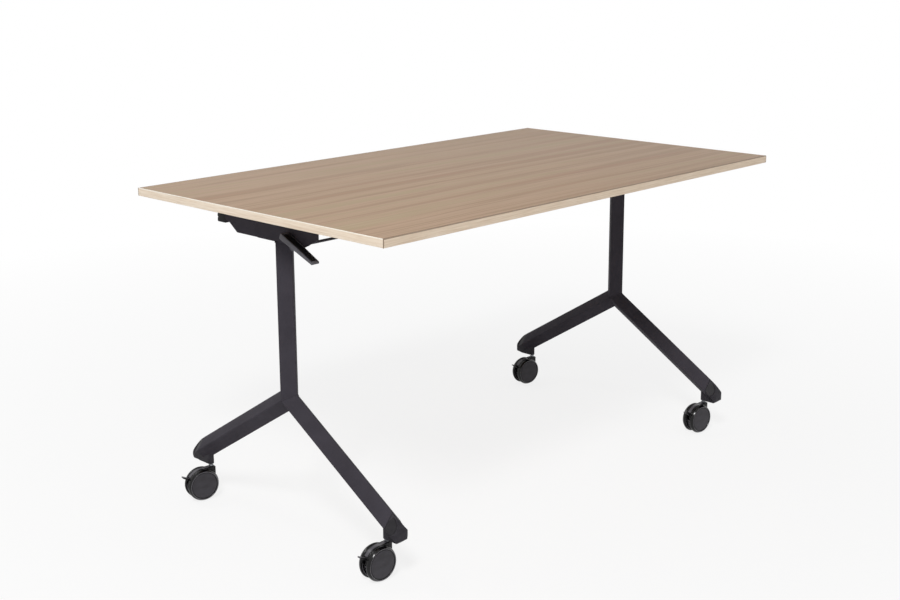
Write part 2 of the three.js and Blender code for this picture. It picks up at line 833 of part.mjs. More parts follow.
addTop(table);
add(table, "crossbeam", beamGeometry(), anthracitePowder);
add(table, "release_rod", rodGeometry(), anthracitePowder);
add(table, "release_lever", leverGeometry(), blackPlastic).position.x = -legX;
for (const [side, sign] of [["left", -1], ["right", 1]]) {
  addLeg(table, side, sign);
  addArm(table, side, sign);
  for (const [end, way] of [["front", -1], ["back", 1]]) {
    addCastor(table, `${end}_${side}`, sign * legX, way * stemReach);
  }
}

export default table;
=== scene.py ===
import math

import bmesh
import bpy
from mathutils import Matrix, Vector


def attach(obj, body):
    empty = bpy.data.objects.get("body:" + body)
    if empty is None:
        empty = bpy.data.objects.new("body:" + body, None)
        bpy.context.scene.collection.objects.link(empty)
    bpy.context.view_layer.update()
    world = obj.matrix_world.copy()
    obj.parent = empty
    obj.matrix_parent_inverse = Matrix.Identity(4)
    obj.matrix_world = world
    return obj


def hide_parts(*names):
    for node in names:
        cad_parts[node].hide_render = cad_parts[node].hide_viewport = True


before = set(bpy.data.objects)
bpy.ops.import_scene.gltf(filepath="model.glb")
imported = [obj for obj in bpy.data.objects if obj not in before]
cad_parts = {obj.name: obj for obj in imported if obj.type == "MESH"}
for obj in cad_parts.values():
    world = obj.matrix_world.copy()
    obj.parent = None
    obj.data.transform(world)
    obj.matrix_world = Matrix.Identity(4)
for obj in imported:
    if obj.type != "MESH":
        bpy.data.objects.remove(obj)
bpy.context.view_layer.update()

# Columns and feet. Each leg is an inverted Y of 35 mm square steel tube set corner forward.
# The three tubes are mitred at the hub, welded all round, ground, and powder coated in
# anthracite with a fine texture.
MM = 0.001
LEG_X = {"left": -584.0, "right": 584.0}
END_WAY = {"front": -1, "back": 1}
HUB_HEIGHT = 313.536
FOOT_SLOPE = math.radians(32)
COLUMN_TOP = 663.7
SEAM_REACH = 317.0
TUBE_HALF_DIAGONAL = 25.0
TUBE_CORNER_RADIUS = 2.6
TUBE_OVERRUN = 50.0
HUB_WELD_RADIUS = 1.3
HUB_WELD_TURN = 2.0
HEAD_WELD_RADIUS = 1.6
HEAD_WELD_DROP = 0.4


def softened(points, radii, steps=5):
    """An outline with its corners rounded, by one radius or by one radius for each corner."""
    if not isinstance(radii, (list, tuple)):
        radii = [radii] * len(points)
    result = []
    for index, (corner, radius) in enumerate(zip(points, radii)):
        here = Vector(corner)
        if radius == 0:
            result.append(tuple(here))
            continue
        back = (Vector(points[index - 1]) - here).normalized()
        onward = (Vector(points[(index + 1) % len(points)]) - here).normalized()
        half = back.angle(onward) / 2
        centre = here + (back + onward).normalized() * radius / math.sin(half)
        start = here + back * radius / math.tan(half) - centre
        end = here + onward * radius / math.tan(half) - centre
        first = math.atan2(start.y, start.x)
        sweep = (math.atan2(end.y, end.x) - first + math.pi) % (2 * math.pi) - math.pi
        for step in range(steps + 1):
            angle = first + sweep * step / steps
            result.append((centre.x + radius * math.cos(angle), centre.y + radius * math.sin(angle)))
    return result


def drawn_out(points, low, high):
    """A bar along Z from low to high with this outline in X and Y, in millimetres."""
    bar = bmesh.new()
    foot = [bar.verts.new((x, y, low)) for x, y in points]
    head = [bar.verts.new((x, y, high)) for x, y in points]
    bar.faces.new(foot[::-1])
    bar.faces.new(head)
    for index in range(len(points)):
        after = (index + 1) % len(points)
        bar.faces.new((foot[index], foot[after], head[after], head[index]))
    return bar


def moved(shape, *turns):
    """The shape after each of these turns or shifts, the last one named being done first."""
    for turn in reversed(turns):
        shape.transform(turn)
    return shape


def sawn(shape, point, away):
    """The shape with all that lies past a plane sawn off and the cut closed."""
    whole = shape.verts[:] + shape.edges[:] + shape.faces[:]
    bmesh.ops.bisect_plane(shape, geom=whole, plane_co=point, plane_no=away, clear_outer=True)
    rim = [edge for edge in shape.edges if edge.is_boundary]
    bmesh.ops.holes_fill(shape, edges=rim)
    return shape


def as_mesh(name, shape, crease=32):
    """The finished shape as a mesh in metres, shaded smooth up to the crease angle."""
    bmesh.ops.recalc_face_normals(shape, faces=shape.faces)
    shape.transform(Matrix.Scale(MM, 4))
    mesh = bpy.data.meshes.new(name)
    shape.to_mesh(mesh)
    shape.free()
    mesh.shade_smooth()
    mesh.set_sharp_from_angle(angle=math.radians(crease))
    return mesh


def fitted(name, mesh, finish, body, stands_for=(), place=None):
    """Puts a piece on the table: in its place, in its finish, on its body."""
    piece = bpy.data.objects.new(name, mesh)
    bpy.context.scene.collection.objects.link(piece)
    if place is not None:
        piece.matrix_world = place
    if not mesh.materials:
        mesh.materials.append(finish.material)
    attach(piece, body)
    if stands_for:
        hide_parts(*stands_for)
    return piece


def shifted(x=0.0, y=0.0, z=0.0):
    return Matrix.Translation((x, y, z))


def spun_by(degrees, axis):
    return Matrix.Rotation(math.radians(degrees), 4, axis)


def at_metres(x=0.0, y=0.0, z=0.0, turn=0.0):
    """Where an object stands: a shift in millimetres and a turn about Z in degrees."""
    return Matrix.Translation((x * MM, y * MM, z * MM)) @ spun_by(turn, "Z")


def swept(name, paths, radius, closed=False):
    """Round wire or weld bead as a mesh in metres, along paths and by a radius in millimetres."""
    curve = bpy.data.curves.new(name, "CURVE")
    curve.dimensions = "3D"
    curve.bevel_depth = radius * MM
    curve.bevel_resolution = 3
    curve.use_fill_caps = True
    for path in paths:
        line = curve.splines.new("POLY")
        line.points.add(len(path) - 1)
        for knot, place in zip(line.points, path):
            knot.co = (*[MM * c for c in place], 1)
        line.use_cyclic_u = closed
    return mesh_of_curve(name, curve)


def mesh_of_curve(name, curve):
    holder = bpy.data.objects.new(name, curve)
    bpy.context.scene.collection.objects.link(holder)
    ready = holder.evaluated_get(bpy.context.evaluated_depsgraph_get())
    mesh = bpy.data.meshes.new_from_object(ready)
    mesh.name = name
    mesh.materials.clear()
    bpy.data.objects.remove(holder)
    bpy.data.curves.remove(curve)
    mesh.shade_smooth()
    return mesh


class Signal:
    """The output of a shader node. Arithmetic on it adds Math nodes."""

    def __init__(self, bench, socket):
        self.bench = bench
        self.socket = socket

    def __add__(self, other):
        return self.bench.math("ADD", self, other)

    def __sub__(self, other):
        return self.bench.math("SUBTRACT", self, other)

    def __rsub__(self, other):
        return self.bench.math("SUBTRACT", other, self)

    def __mul__(self, other):
        return self.bench.math("MULTIPLY", self, other)

    __radd__ = __add__
    __rmul__ = __mul__


class Bench:
    """Where shader nodes are laid, each by its type, its settings and its sockets."""

    def __init__(self, tree):
        self.tree = tree

    def put(self, socket, value):
        if isinstance(value, Signal):
            self.tree.links.new(value.socket, socket)
        else:
            socket.default_value = value

    def node(self, kind, settings, sockets, output=0):
        made = self.tree.nodes.new(kind)
        for setting, value in settings.items():
            if setting == "stops":
                self.set_stops(made.color_ramp, value)
            else:
                setattr(made, setting, value)
        for socket, value in sockets.items():
            self.put(made.inputs[socket], value)
        return Signal(self, made.outputs[output])

    def set_stops(self, ramp, stops):
        while len(ramp.elements) < len(stops):
            ramp.elements.new(1.0)
        for element, (place, colour) in zip(ramp.elements, stops):
            element.position = place
            element.color = colour

    def math(self, operation, first, second):
        return self.node("ShaderNodeMath", {"operation": operation}, {0: first, 1: second})


NOISE_RANGE = (0.3, 0.7)


class Finish(Bench):
    """A procedural material for one slot, around one shader whose constants are set by name."""

    def __init__(self, name, slot=None, **constants):
        self.slot = slot
        self.material = bpy.data.materials.new(name)
        self.material.use_nodes = True
        super().__init__(self.material.node_tree)
        self.shader = self.tree.nodes["Principled BSDF"]
        for socket, value in constants.items():
            self.put(self.shader.inputs[socket.replace("_", " ")], value)

    def point(self):
        """A point on the piece, in metres of the piece itself."""
        return self.node("ShaderNodeTexCoord", {}, {}, "Object")

    def stretched(self, point, stretch):
        return self.node("ShaderNodeMapping", {}, {"Vector": point, "Scale": stretch})

    def noise(self, scale, detail=2.0, stretch=(1, 1, 1), point=None):
        where = self.stretched(point or self.point(), stretch)
        sockets = {"Vector": where, "Scale": scale, "Detail": detail}
        return self.node("ShaderNodeTexNoise", {}, sockets, "Fac")

    def length(self, vector):
        return self.node("ShaderNodeVectorMath", {"operation": "LENGTH"}, {0: vector}, "Value")

    def part(self, vector, axis):
        """One of a vector's parts, without its sign."""
        part = self.node("ShaderNodeSeparateXYZ", {}, {"Vector": vector}, axis)
        return self.math("ABSOLUTE", part, 0.0)

    def ramp(self, signal, *stops):
        return self.node("ShaderNodeValToRGB", {"stops": stops}, {"Fac": signal}, "Color")

    def between(self, share, first, second):
        """A colour between two colours, by share."""
        sockets = {0: share, 6: first, 7: second}
        return self.node("ShaderNodeMix", {"data_type": "RGBA"}, sockets, 2)

    def spread(self, signal, low, high, out_low=0.0, out_high=1.0):
        """The signal with its range low to high brought to another range, and held inside it."""
        sockets = {0: signal, 1: low, 2: high, 3: out_low, 4: out_high}
        return self.node("ShaderNodeMapRange", {}, sockets)

    def dress(self, colour, roughness, relief, depth):
        """Joins the colour, the roughness and the relief, depth metres deep, to the shader."""
        self.put(self.shader.inputs["Base Color"], colour)
        self.put(self.shader.inputs["Roughness"], roughness)
        sockets = {"Strength": 1.0, "Distance": depth, "Height": relief}
        self.put(self.shader.inputs["Normal"], self.node("ShaderNodeBump", {}, sockets))


def paint(red, green, blue):
    """A colour of the sample card, 0 to 255, as the shader's linear colour."""
    shares = [c / 255 for c in (red, green, blue)]
    return (*[c / 12.92 if c <= 0.04045 else ((c + 0.055) / 1.055) ** 2.4 for c in shares], 1.0)


POWDER_SHINE = 0.04
POWDER_SPECK = paint(92, 90, 97)
POWDER_SPECK_SHARE = 0.35
POWDER_PEEL_DEPTH = 0.00012


def powder_coat(name, dark, light, roughness):
    """Fine-texture polyester powder: a tight peel with faint clouds in its colour."""
    coat = Finish(name, "anthracite_powder_coat", Specular_IOR_Level=POWDER_SHINE)
    peel = coat.noise(scale=2400, detail=3)
    cloud = coat.noise(scale=14, detail=4)
    speck = coat.spread(coat.noise(scale=1500, detail=1), 0.62, 0.75)
    shade = coat.between(coat.spread(cloud, *NOISE_RANGE), dark, light)
    worn = coat.between(speck * POWDER_SPECK_SHARE, shade, POWDER_SPECK)
    sheen = coat.spread(peel, *NOISE_RANGE, roughness - 0.06, roughness + 0.08)
    coat.dress(worn, sheen, peel, POWDER_PEEL_DEPTH)
    return coat


anthracite = powder_coat("anthracite_powder", paint(59, 56, 62), paint(67, 64, 71), 0.58)

ridge = TUBE_HALF_DIAGONAL
tube_outline = softened([(ridge, 0), (0, ridge), (-ridge, 0), (0, -ridge)], TUBE_CORNER_RADIUS)
mitre = math.pi / 4 - FOOT_SLOPE / 2
hub = (0, 0, HUB_HEIGHT)

column = drawn_out(tube_outline, HUB_HEIGHT - TUBE_OVERRUN, COLUMN_TOP)
column = sawn(column, hub, (0, math.sin(mitre), -math.cos(mitre)))
column = sawn(column, hub, (0, -math.sin(mitre), -math.cos(mitre)))
column_mesh = as_mesh("column", column)

foot_length = (SEAM_REACH + TUBE_OVERRUN) / math.cos(FOOT_SLOPE)
along_foot = shifted(z=HUB_HEIGHT) @ Matrix.Rotation(-math.pi / 2 - FOOT_SLOPE, 4, "X")
foot = moved(drawn_out(tube_outline, -TUBE_OVERRUN, foot_length), along_foot)
foot = sawn(foot, hub, (0, -math.sin(mitre), math.cos(mitre)))
foot = sawn(foot, (0, 0, 0), (0, -1, 0))
foot = sawn(foot, (0, SEAM_REACH, 0), (0, 1, 0))
foot_mesh = as_mesh("foot", foot)

weld_x = (-ridge, -HUB_WELD_TURN, HUB_WELD_TURN, ridge)
rising = math.tan(mitre)
hub_welds = [
    [(x, way * (ridge - abs(x)), HUB_HEIGHT + (ridge - abs(x)) * rising) for x in weld_x]
    for way in (-1, 1)
]
falling = 1 / math.cos(FOOT_SLOPE)
hub_welds.append([(x, 0, HUB_HEIGHT - (ridge - abs(x)) * falling) for x in weld_x])
hub_weld_mesh = swept("hub_weld", hub_welds, HUB_WELD_RADIUS)
head_ring = [(x, y, COLUMN_TOP - HEAD_WELD_DROP) for x, y in tube_outline]
head_weld_mesh = swept("head_weld", [head_ring], HEAD_WELD_RADIUS, closed=True)

for side, leg_x in LEG_X.items():
    here = at_metres(leg_x)
    fitted(f"{side}_column", column_mesh, anthracite, "frame", [f"column_{side}"], here)
    fitted(f"{side}_hub_weld", hub_weld_mesh, anthracite, "frame", place=here)
    fitted(f"{side}_head_weld", head_weld_mesh, anthracite, "frame", place=here)
    for end, way in END_WAY.items():
        turned = at_metres(leg_x, turn=0 if way > 0 else 180)
        fitted(f"{side}_{end}_foot", foot_mesh, anthracite, "frame", [f"foot_{end}_{side}"], turned)

# Heads. A base plate and two cheeks of 5 mm steel, laser cut, welded into a channel on the
# column's end. The notch in front is the latch's catch, and the round end behind is the pivot.
HEAD_HALF_WIDTH = 22.0
HEAD_CHEEK = 5.0
HEAD_BASE = 6.0
HEAD_BOTTOM = 664.0
HEAD_TOP = 718.3
HEAD_FRONT = -48.0
HEAD_TOE_CUT = 8.0
HEAD_CUT = 12.0
HEAD_SEAM_INSET = 1.0
HEAD_SEAM_RADIUS = 1.8
PIVOT_Y = 60.0
PIVOT_Z = 704.0
PIVOT_RADIUS = 6.0
RUNNING_GAP = 0.3
ROD_Y = -76.0
ROD_Z = 667.7
CATCH_TOP = ROD_Z + 22.5
CATCH_FOOT = ROD_Z + 8.0
CATCH_DEPTH = 5.0


def oblong(left, low, right, high):
    """The four corners of an oblong, anticlockwise."""
    return [(left, low), (right, low), (right, high), (left, high)]


def circle(centre, radius, steps=32):
    """Points round a circle, clockwise, as a hole is drawn."""
    turns = [-2 * math.pi * step / steps for step in range(steps)]
    return [(centre[0] + radius * math.cos(t), centre[1] + radius * math.sin(t)) for t in turns]


def plate(outlines, thickness, soft=0.5):
    """A flat plate in X and Y, centred on Z, with holes, and its arrises rounded by soft."""
    curve = bpy.data.curves.new("plate", "CURVE")
    curve.dimensions = "2D"
    curve.fill_mode = "BOTH"
    curve.extrude = thickness / 2 - soft
    curve.bevel_depth = soft
    curve.bevel_resolution = 2
    curve.offset = -soft
    for points in outlines:
        line = curve.splines.new("POLY")
        line.points.add(len(points) - 1)
        for knot, (x, y) in zip(line.points, points):
            knot.co = (x, y, 0, 1)
        line.use_cyclic_u = True
    mesh = mesh_of_curve("plate", curve)
    shape = bmesh.new()
    shape.from_mesh(mesh)
    bpy.data.meshes.remove(mesh)
    bmesh.ops.remove_doubles(shape, verts=shape.verts, dist=0.002)
    return shape


def gathered(*shapes):
    """Several closed shapes as one piece."""
    whole = shapes[0]
    for shape in shapes[1:]:
        part = bpy.data.meshes.new("part")
        shape.to_mesh(part)
        whole.from_mesh(part)
        shape.free()
        bpy.data.meshes.remove(part)
    return whole


UPRIGHT_YZ = Matrix(((0, 0, 1, 0), (1, 0, 0, 0), (0, 1, 0, 0), (0, 0, 0, 1)))

rise = HEAD_TOP - PIVOT_Z
head_back = PIVOT_Y + rise
base_front = HEAD_FRONT + HEAD_TOE_CUT
base_back = head_back - HEAD_CUT
head_corners = [
    (base_front, HEAD_BOTTOM),
    (base_back, HEAD_BOTTOM),
    (head_back, HEAD_BOTTOM + HEAD_CUT),
    (head_back, HEAD_TOP),
    (HEAD_FRONT + HEAD_CUT, HEAD_TOP),
    (HEAD_FRONT, HEAD_TOP - HEAD_CUT),
    (HEAD_FRONT, CATCH_TOP),
    (HEAD_FRONT + CATCH_DEPTH, CATCH_TOP - CATCH_DEPTH),
    (HEAD_FRONT + CATCH_DEPTH, CATCH_FOOT),
    (HEAD_FRONT, CATCH_FOOT),
    (HEAD_FRONT, HEAD_BOTTOM + HEAD_TOE_CUT),
]
head_outline = softened(head_corners, [2, 3, 3, rise - 0.1, 3, 3, 1, 1, 1, 1, 2])
pivot_hole = circle((PIVOT_Y, PIVOT_Z), PIVOT_RADIUS + RUNNING_GAP)
cheek_x = HEAD_HALF_WIDTH - HEAD_CHEEK / 2
cheeks = [
    moved(plate([head_outline, pivot_hole], HEAD_CHEEK), shifted(x=way * cheek_x), UPRIGHT_YZ)
    for way in (-1, 1)
]
base_x = HEAD_HALF_WIDTH - HEAD_CHEEK
base = plate([softened(oblong(-base_x, base_front, base_x, base_back), 0.5)], HEAD_BASE)
base = moved(base, shifted(z=HEAD_BOTTOM + HEAD_BASE / 2))
head_mesh = as_mesh("head", gathered(base, *cheeks))
seam_z = HEAD_BOTTOM + HEAD_BASE
seam_ends = (base_front + HEAD_SEAM_INSET, base_back - HEAD_SEAM_INSET)
seams = [[(way * base_x, y, seam_z) for y in seam_ends] for way in (-1, 1)]
seam_mesh = swept("head_seam", seams, HEAD_SEAM_RADIUS)

for side, leg_x in LEG_X.items():
    here = at_metres(leg_x)
    fitted(f"{side}_head", head_mesh, anthracite, "frame", [f"pivot_head_{side}"], here)
    fitted(f"{side}_head_seam", seam_mesh, anthracite, "frame", place=here)

# Foot caps. One moulding of black nylon closes each foot's tube: it carries the tube's section
# on, bends down to a rounded nose, and takes the castor's stem in a narrow shoe. Each side is
# scooped out a little up to a curved step, smoother, and painted darker there as shade. A spigot
# holds it in the tube.
STEM_REACH = 299.0
SOLE = 82.0
CAP_TOE = STEM_REACH + 36.0
CAP_TOE_RISE = 8.0
CAP_NOSE = STEM_REACH + 46.0
CAP_NOSE_RISE = 18.0
CAP_FRONT_TOP = 30.0
CAP_SPARE = 9.0
CAP_CORNER_RADIUS = 16.0
CAP_BOSS_RADIUS = 7.5
SHOE_TOP = 115.4
CAP_ROUNDS = 18
PAST_SIDES = 40.0
PAST_TOP = 700.0
FACE_SLANT = math.sqrt(0.5)
SCOOP_DEPTH = 2.2
SCOOP_RUN = 28.0
SCOOP_STOCK = 8.0
SCOOP_RIM = [  # each is the distance past the stem and the distance out from the ridge
    (18.3, 2.6), (26, 3.0), (33, 4.4), (38.5, 7.6), (41.2, 12.5),
    (40.4, 18), (36.5, 22.5), (30, 27), (18.3, 27),
]
SCOOP_SKIN = 0.14
SCOOP_DEEPEST = 4.0
SCOOP_FACING = 0.9
SCOOP_END = 42.0


def drilled(first, kind, second):
    """One shape joined to, cut by or kept inside another: UNION, DIFFERENCE or INTERSECT."""
    holders = []
    for shape in (first, second):
        mesh = bpy.data.meshes.new("stock")
        bmesh.ops.recalc_face_normals(shape, faces=shape.faces)
        shape.to_mesh(mesh)
        shape.free()
        holder = bpy.data.objects.new("stock", mesh)
        bpy.context.scene.collection.objects.link(holder)
        holders.append(holder)
    work, tool = holders
    cut = work.modifiers.new("cut", "BOOLEAN")
    cut.operation = kind
    cut.solver = "EXACT"
    cut.object = tool
    return taken_from(work, tool)


def taken_from(work, *others):
    """The shape of a holder after its modifiers, the holders then being thrown away."""
    ready = work.evaluated_get(bpy.context.evaluated_depsgraph_get())
    mesh = bpy.data.meshes.new_from_object(ready)
    shape = bmesh.new()
    shape.from_mesh(mesh)
    bpy.data.meshes.remove(mesh)
    for holder in (work, *others):
        stock = holder.data
        bpy.data.objects.remove(holder)
        bpy.data.meshes.remove(stock)
    return shape


def eased(shape, rounds, voxel=0.6, keep=0.3):
    """The shape as a moulding: one skin, its arrises eased by rounds of smoothing."""
    mesh = bpy.data.meshes.new("mould")
    bmesh.ops.recalc_face_normals(shape, faces=shape.faces)
    shape.to_mesh(mesh)
    shape.free()
    work = bpy.data.objects.new("mould", mesh)
    bpy.context.scene.collection.objects.link(work)
    skin = work.modifiers.new("skin", "REMESH")
    skin.mode = "VOXEL"
    skin.voxel_size = voxel
    ease = work.modifiers.new("ease", "SMOOTH")
    ease.iterations = rounds
    thin = work.modifiers.new("thin", "DECIMATE")
    thin.ratio = keep
    return taken_from(work)


def bent(start, pull, end, steps=10):
    """Points along a curve that leaves start towards pull and comes into end from it."""
    shares = [step / steps for step in range(steps + 1)]
    spans = [((1 - s) ** 2, 2 * s * (1 - s), s * s) for s in shares]
    return [tuple(i * a + j * b + k * c for a, b, c in zip(start, pull, end)) for i, j, k in spans]


def ridge_height(reach):
    return HUB_HEIGHT + TUBE_HALF_DIAGONAL / math.cos(FOOT_SLOPE) - reach * math.tan(FOOT_SLOPE)


def along_face(reach, half_width):
    """A place on the foot's upper face: its distance down the foot, and across from the ridge."""
    down = reach - (TUBE_HALF_DIAGONAL - half_width) * math.sin(FOOT_SLOPE)
    return (down / math.cos(FOOT_SLOPE), half_width * math.sqrt(2))


def scoop(way):
    """What is scooped from one side: nothing at the seam, most at the curved step."""
    points = [along_face(STEM_REACH + reach, wide) for reach, wide in SCOOP_RIM]
    hinge = along_face(SEAM_REACH, TUBE_HALF_DIAGONAL / 2)[0]
    lean = Matrix.Rotation(math.atan(SCOOP_DEPTH / SCOOP_RUN), 4, "Y")
    onto_face = Matrix(
        (
            (0, way * FACE_SLANT, way * FACE_SLANT, 0),
            (0, FACE_SLANT, -FACE_SLANT, -TUBE_HALF_DIAGONAL),
            (1, 0, 0, 0),
            (0, 0, 0, 1),
        )
    )
    stock = drawn_out(points, 0, SCOOP_STOCK)
    return moved(stock, along_foot, onto_face, shifted(x=hinge), lean, shifted(x=-hinge))


def cap_shape():
    """The cap's side view and plan cut from the tube's section, scooped, with its shoe."""
    toe = softened(
        [
            (SEAM_REACH, SOLE),
            (CAP_TOE, SOLE),
            (CAP_NOSE, SOLE + CAP_TOE_RISE),
            (CAP_NOSE, SOLE + CAP_FRONT_TOP),
        ],
        [0, 6, 5, 0],
    )
    brow = bent(
        (CAP_NOSE, SOLE + CAP_NOSE_RISE),
        (CAP_NOSE, ridge_height(CAP_NOSE)),
        (SEAM_REACH, ridge_height(SEAM_REACH)),
    )
    side = toe[:-1] + brow + [(SEAM_REACH, ridge_height(SEAM_REACH) + CAP_SPARE)]
    half = TUBE_HALF_DIAGONAL
    plan = oblong(-half, 0, half, CAP_NOSE)
    plan = softened(plan, [0, 0, CAP_CORNER_RADIUS, CAP_CORNER_RADIUS], steps=9)
    nose = moved(drawn_out(tube_outline, 0, 2 * foot_length), along_foot)
    nose = drilled(nose, "INTERSECT", moved(drawn_out(side, -PAST_SIDES, PAST_SIDES), UPRIGHT_YZ))
    nose = drilled(nose, "INTERSECT", drawn_out(plan, 0, PAST_TOP))
    for way in (-1, 1):
        nose = drilled(nose, "DIFFERENCE", scoop(way))
    boss = [
        (CAP_BOSS_RADIUS * math.cos(t), STEM_REACH + CAP_BOSS_RADIUS * math.sin(t))
        for t in [math.pi + math.pi * step / 16 for step in range(17)]
    ]
    shoe = drawn_out(boss + [(CAP_BOSS_RADIUS, CAP_TOE), (-CAP_BOSS_RADIUS, CAP_TOE)], SOLE, SHOE_TOP)
    return drilled(nose, "UNION", shoe)


ZONE_EDGE = 0.0003


def moulded_nylon(
    name, dark, light, roughness, slot="black_plastic", shine=0.22, erosion=(1800, 0.00005), zone=None
):
    """A moulding's finish: an even spark-eroded grain of a scale and a depth, and a faint flow.

    A zone is another tone from one distance to another, measured along the axes it names.
    """
    nylon = Finish(name, slot, Specular_IOR_Level=shine)
    grain_scale, grain_depth = erosion
    grain = nylon.noise(grain_scale, detail=2)
    flow = nylon.noise(scale=30, detail=3, stretch=(1, 1, 3))
    tone = nylon.between(nylon.spread(flow, 0.35, 0.65), dark, light)
    if zone:
        axes, start, end, other = zone
        reach = nylon.length(nylon.stretched(nylon.point(), axes))
        begun = nylon.spread(reach, start, start + ZONE_EDGE)
        ended = nylon.spread(reach, end, end + ZONE_EDGE)
        tone = nylon.between(begun - ended, tone, other)
    sheen = nylon.spread(grain, *NOISE_RANGE, roughness - 0.05, roughness + 0.07)
    nylon.dress(tone, sheen, grain, grain_depth)
    return nylon


def is_scooped(face):
    """Whether a face of the cap lies below the foot's upper faces, yet looks the same way."""
    sideways = math.copysign(FACE_SLANT, face.center.x)
    outward = Vector((sideways, FACE_SLANT * math.sin(FOOT_SLOPE), FACE_SLANT * math.cos(FOOT_SLOPE)))
    depth = TUBE_HALF_DIAGONAL * FACE_SLANT - outward.dot(face.center / MM - Vector(hub))
    faces_out = outward.dot(face.normal) > SCOOP_FACING
    before_end = face.center.y / MM < STEM_REACH + SCOOP_END
    return SCOOP_SKIN < depth < SCOOP_DEEPEST and faces_out and before_end


cap_nylon = moulded_nylon("cap_nylon", paint(46, 44, 49), paint(54, 52, 57), 0.5, shine=0.12)
# The scooped faces are painted darker than the rest of the cap as painted shade; their lower roughness is
# real.
scoop_nylon_painted_shade = moulded_nylon("scoop_nylon_painted_shade", paint(27, 25, 29), paint(34, 32, 36), 0.42, shine=0.12)
cap_mesh = as_mesh("cap", eased(cap_shape(), CAP_ROUNDS), crease=60)
for finish in (cap_nylon, scoop_nylon_painted_shade):
    cap_mesh.materials.append(finish.material)
# Scooped faces take the darker finish: painted shade.
for face in cap_mesh.polygons:
    face.material_index = int(is_scooped(face))

for side, leg_x in LEG_X.items():
    for end, way in END_WAY.items():
        turned = at_metres(leg_x, turn=0 if way > 0 else 180)
        fitted(f"{side}_{end}_cap", cap_mesh, cap_nylon, "frame", [f"foot_cap_{end}_{side}"], turned)

# Castors. Twin wheels of hard nylon on a steel axle, either side of a moulded hood that turns
# on a zinc plated stem, with a foot tab for the brake. The tyre and its bevelled rim are glossy
# from the mould, a paler ring at the lip is a painted highlight, and the disc inside is textured.
# Three slots lighten the hood.
CASTOR_TURN = {"front_left": 175.5, "back_left": 167.0, "front_right": 172.5, "back_right": 170.0}
WHEEL_RADIUS = 37.5
WHEEL_STEPS = 96
WHEEL_BORE = 5.0
WHEEL_INNER = 8.5
WHEEL_OUTER = 18.3
BEVEL_START = (WHEEL_RADIUS, 12.6)
BEVEL_PULL = (36.2, 15.6)
BEVEL_END = (34.3, 18.2)
DISC_SEAT = 16.6
DISC_RADIUS = 30.3
# The radii between which the wheel's lip is painted paler, as a painted highlight.
LIP_HIGHLIGHT_START = 0.0321
LIP_HIGHLIGHT_END = 0.0338
TRAIL = 25.0
HOOD_RADIUS = 37.2
HOOD_ARC = (12, 100)
HOOD_STRIP = 0.0040
HOOD_ROUNDS = 3
WEB_HALF = 8.0
WEB_RADIUS = 30.0
WEB_ARC = (160, 360)
NECK_FRONT = 8.5
NECK_BACK = -8.3
STEM_HEAD_RADIUS = 8.4
STEM_HEAD_FOOT = 57.0
STEM_HEAD_TOP = 76.0
NECK_TOP = STEM_HEAD_TOP - 0.6
NECK_FOOT = STEM_HEAD_TOP - 20.0
SOCKET_RADIUS = 4.5
SLOT_ANGLES = (-12, -26, -40)
SLOT_CORNERS = (-6, -2, 6, 2)
SLOT_REACH = 24.0
SLOT_DEPTH = 12.0
TAB_ANGLE = 28
TAB_REACH = 24.0
TAB_WIDTH = 10.0
TAB_POCKET_HALF = 5.4
TAB_POCKET_START = 15.0


def lathed(profile, steps=48, ring=False, hexed=()):
    """A turned shape about Z from points (radius, height). Rows named in hexed are six sided."""
    shape = bmesh.new()
    rows = []
    for row, (radius, height) in enumerate(profile):
        if radius == 0:
            rows.append([shape.verts.new((0, 0, height))])
            continue
        points = []
        for step in range(steps):
            turn = 2 * math.pi * step / steps
            reach = radius
            if row in hexed:
                reach *= math.cos(math.pi / 6) / math.cos(turn % (math.pi / 3) - math.pi / 6)
            points.append(shape.verts.new((reach * math.cos(turn), reach * math.sin(turn), height)))
        rows.append(points)
    pairs = list(zip(rows, rows[1:])) + ([(rows[-1], rows[0])] if ring else [])
    for low, high in pairs:
        for step in range(steps):
            after = step + 1
            corners = (
                low[step % len(low)],
                low[after % len(low)],
                high[after % len(high)],
                high[step % len(high)],
            )
            shape.faces.new(list(dict.fromkeys(corners)))
    return shape


def rounded_profile(points, radii, steps=5):
    """A turned shape's open outline with its inner corners rounded."""
    return softened(points, [0] + list(radii) + [0], steps)


# A paler ring at the lip: a painted highlight where the rim catches the light.
lip_highlight = ((1, 0, 1), LIP_HIGHLIGHT_START, LIP_HIGHLIGHT_END, paint(98, 96, 101))
gloss_tones = (paint(8, 7, 9), paint(12, 11, 13))
wheel_gloss_and_lip_highlight = moulded_nylon("wheel_gloss_and_lip_highlight", *gloss_tones, 0.16, "wheel_plastic", 0.3, (900, 0.000004), lip_highlight)
disc_satin = moulded_nylon("disc_satin", paint(56, 54, 58), paint(64, 62, 67), 0.5, "wheel_plastic")
strip = ((0, 1, 0), -1.0, HOOD_STRIP, paint(88, 86, 91))
hood_nylon = moulded_nylon("hood_nylon", paint(15, 14, 16), paint(22, 21, 24), 0.28, zone=strip)

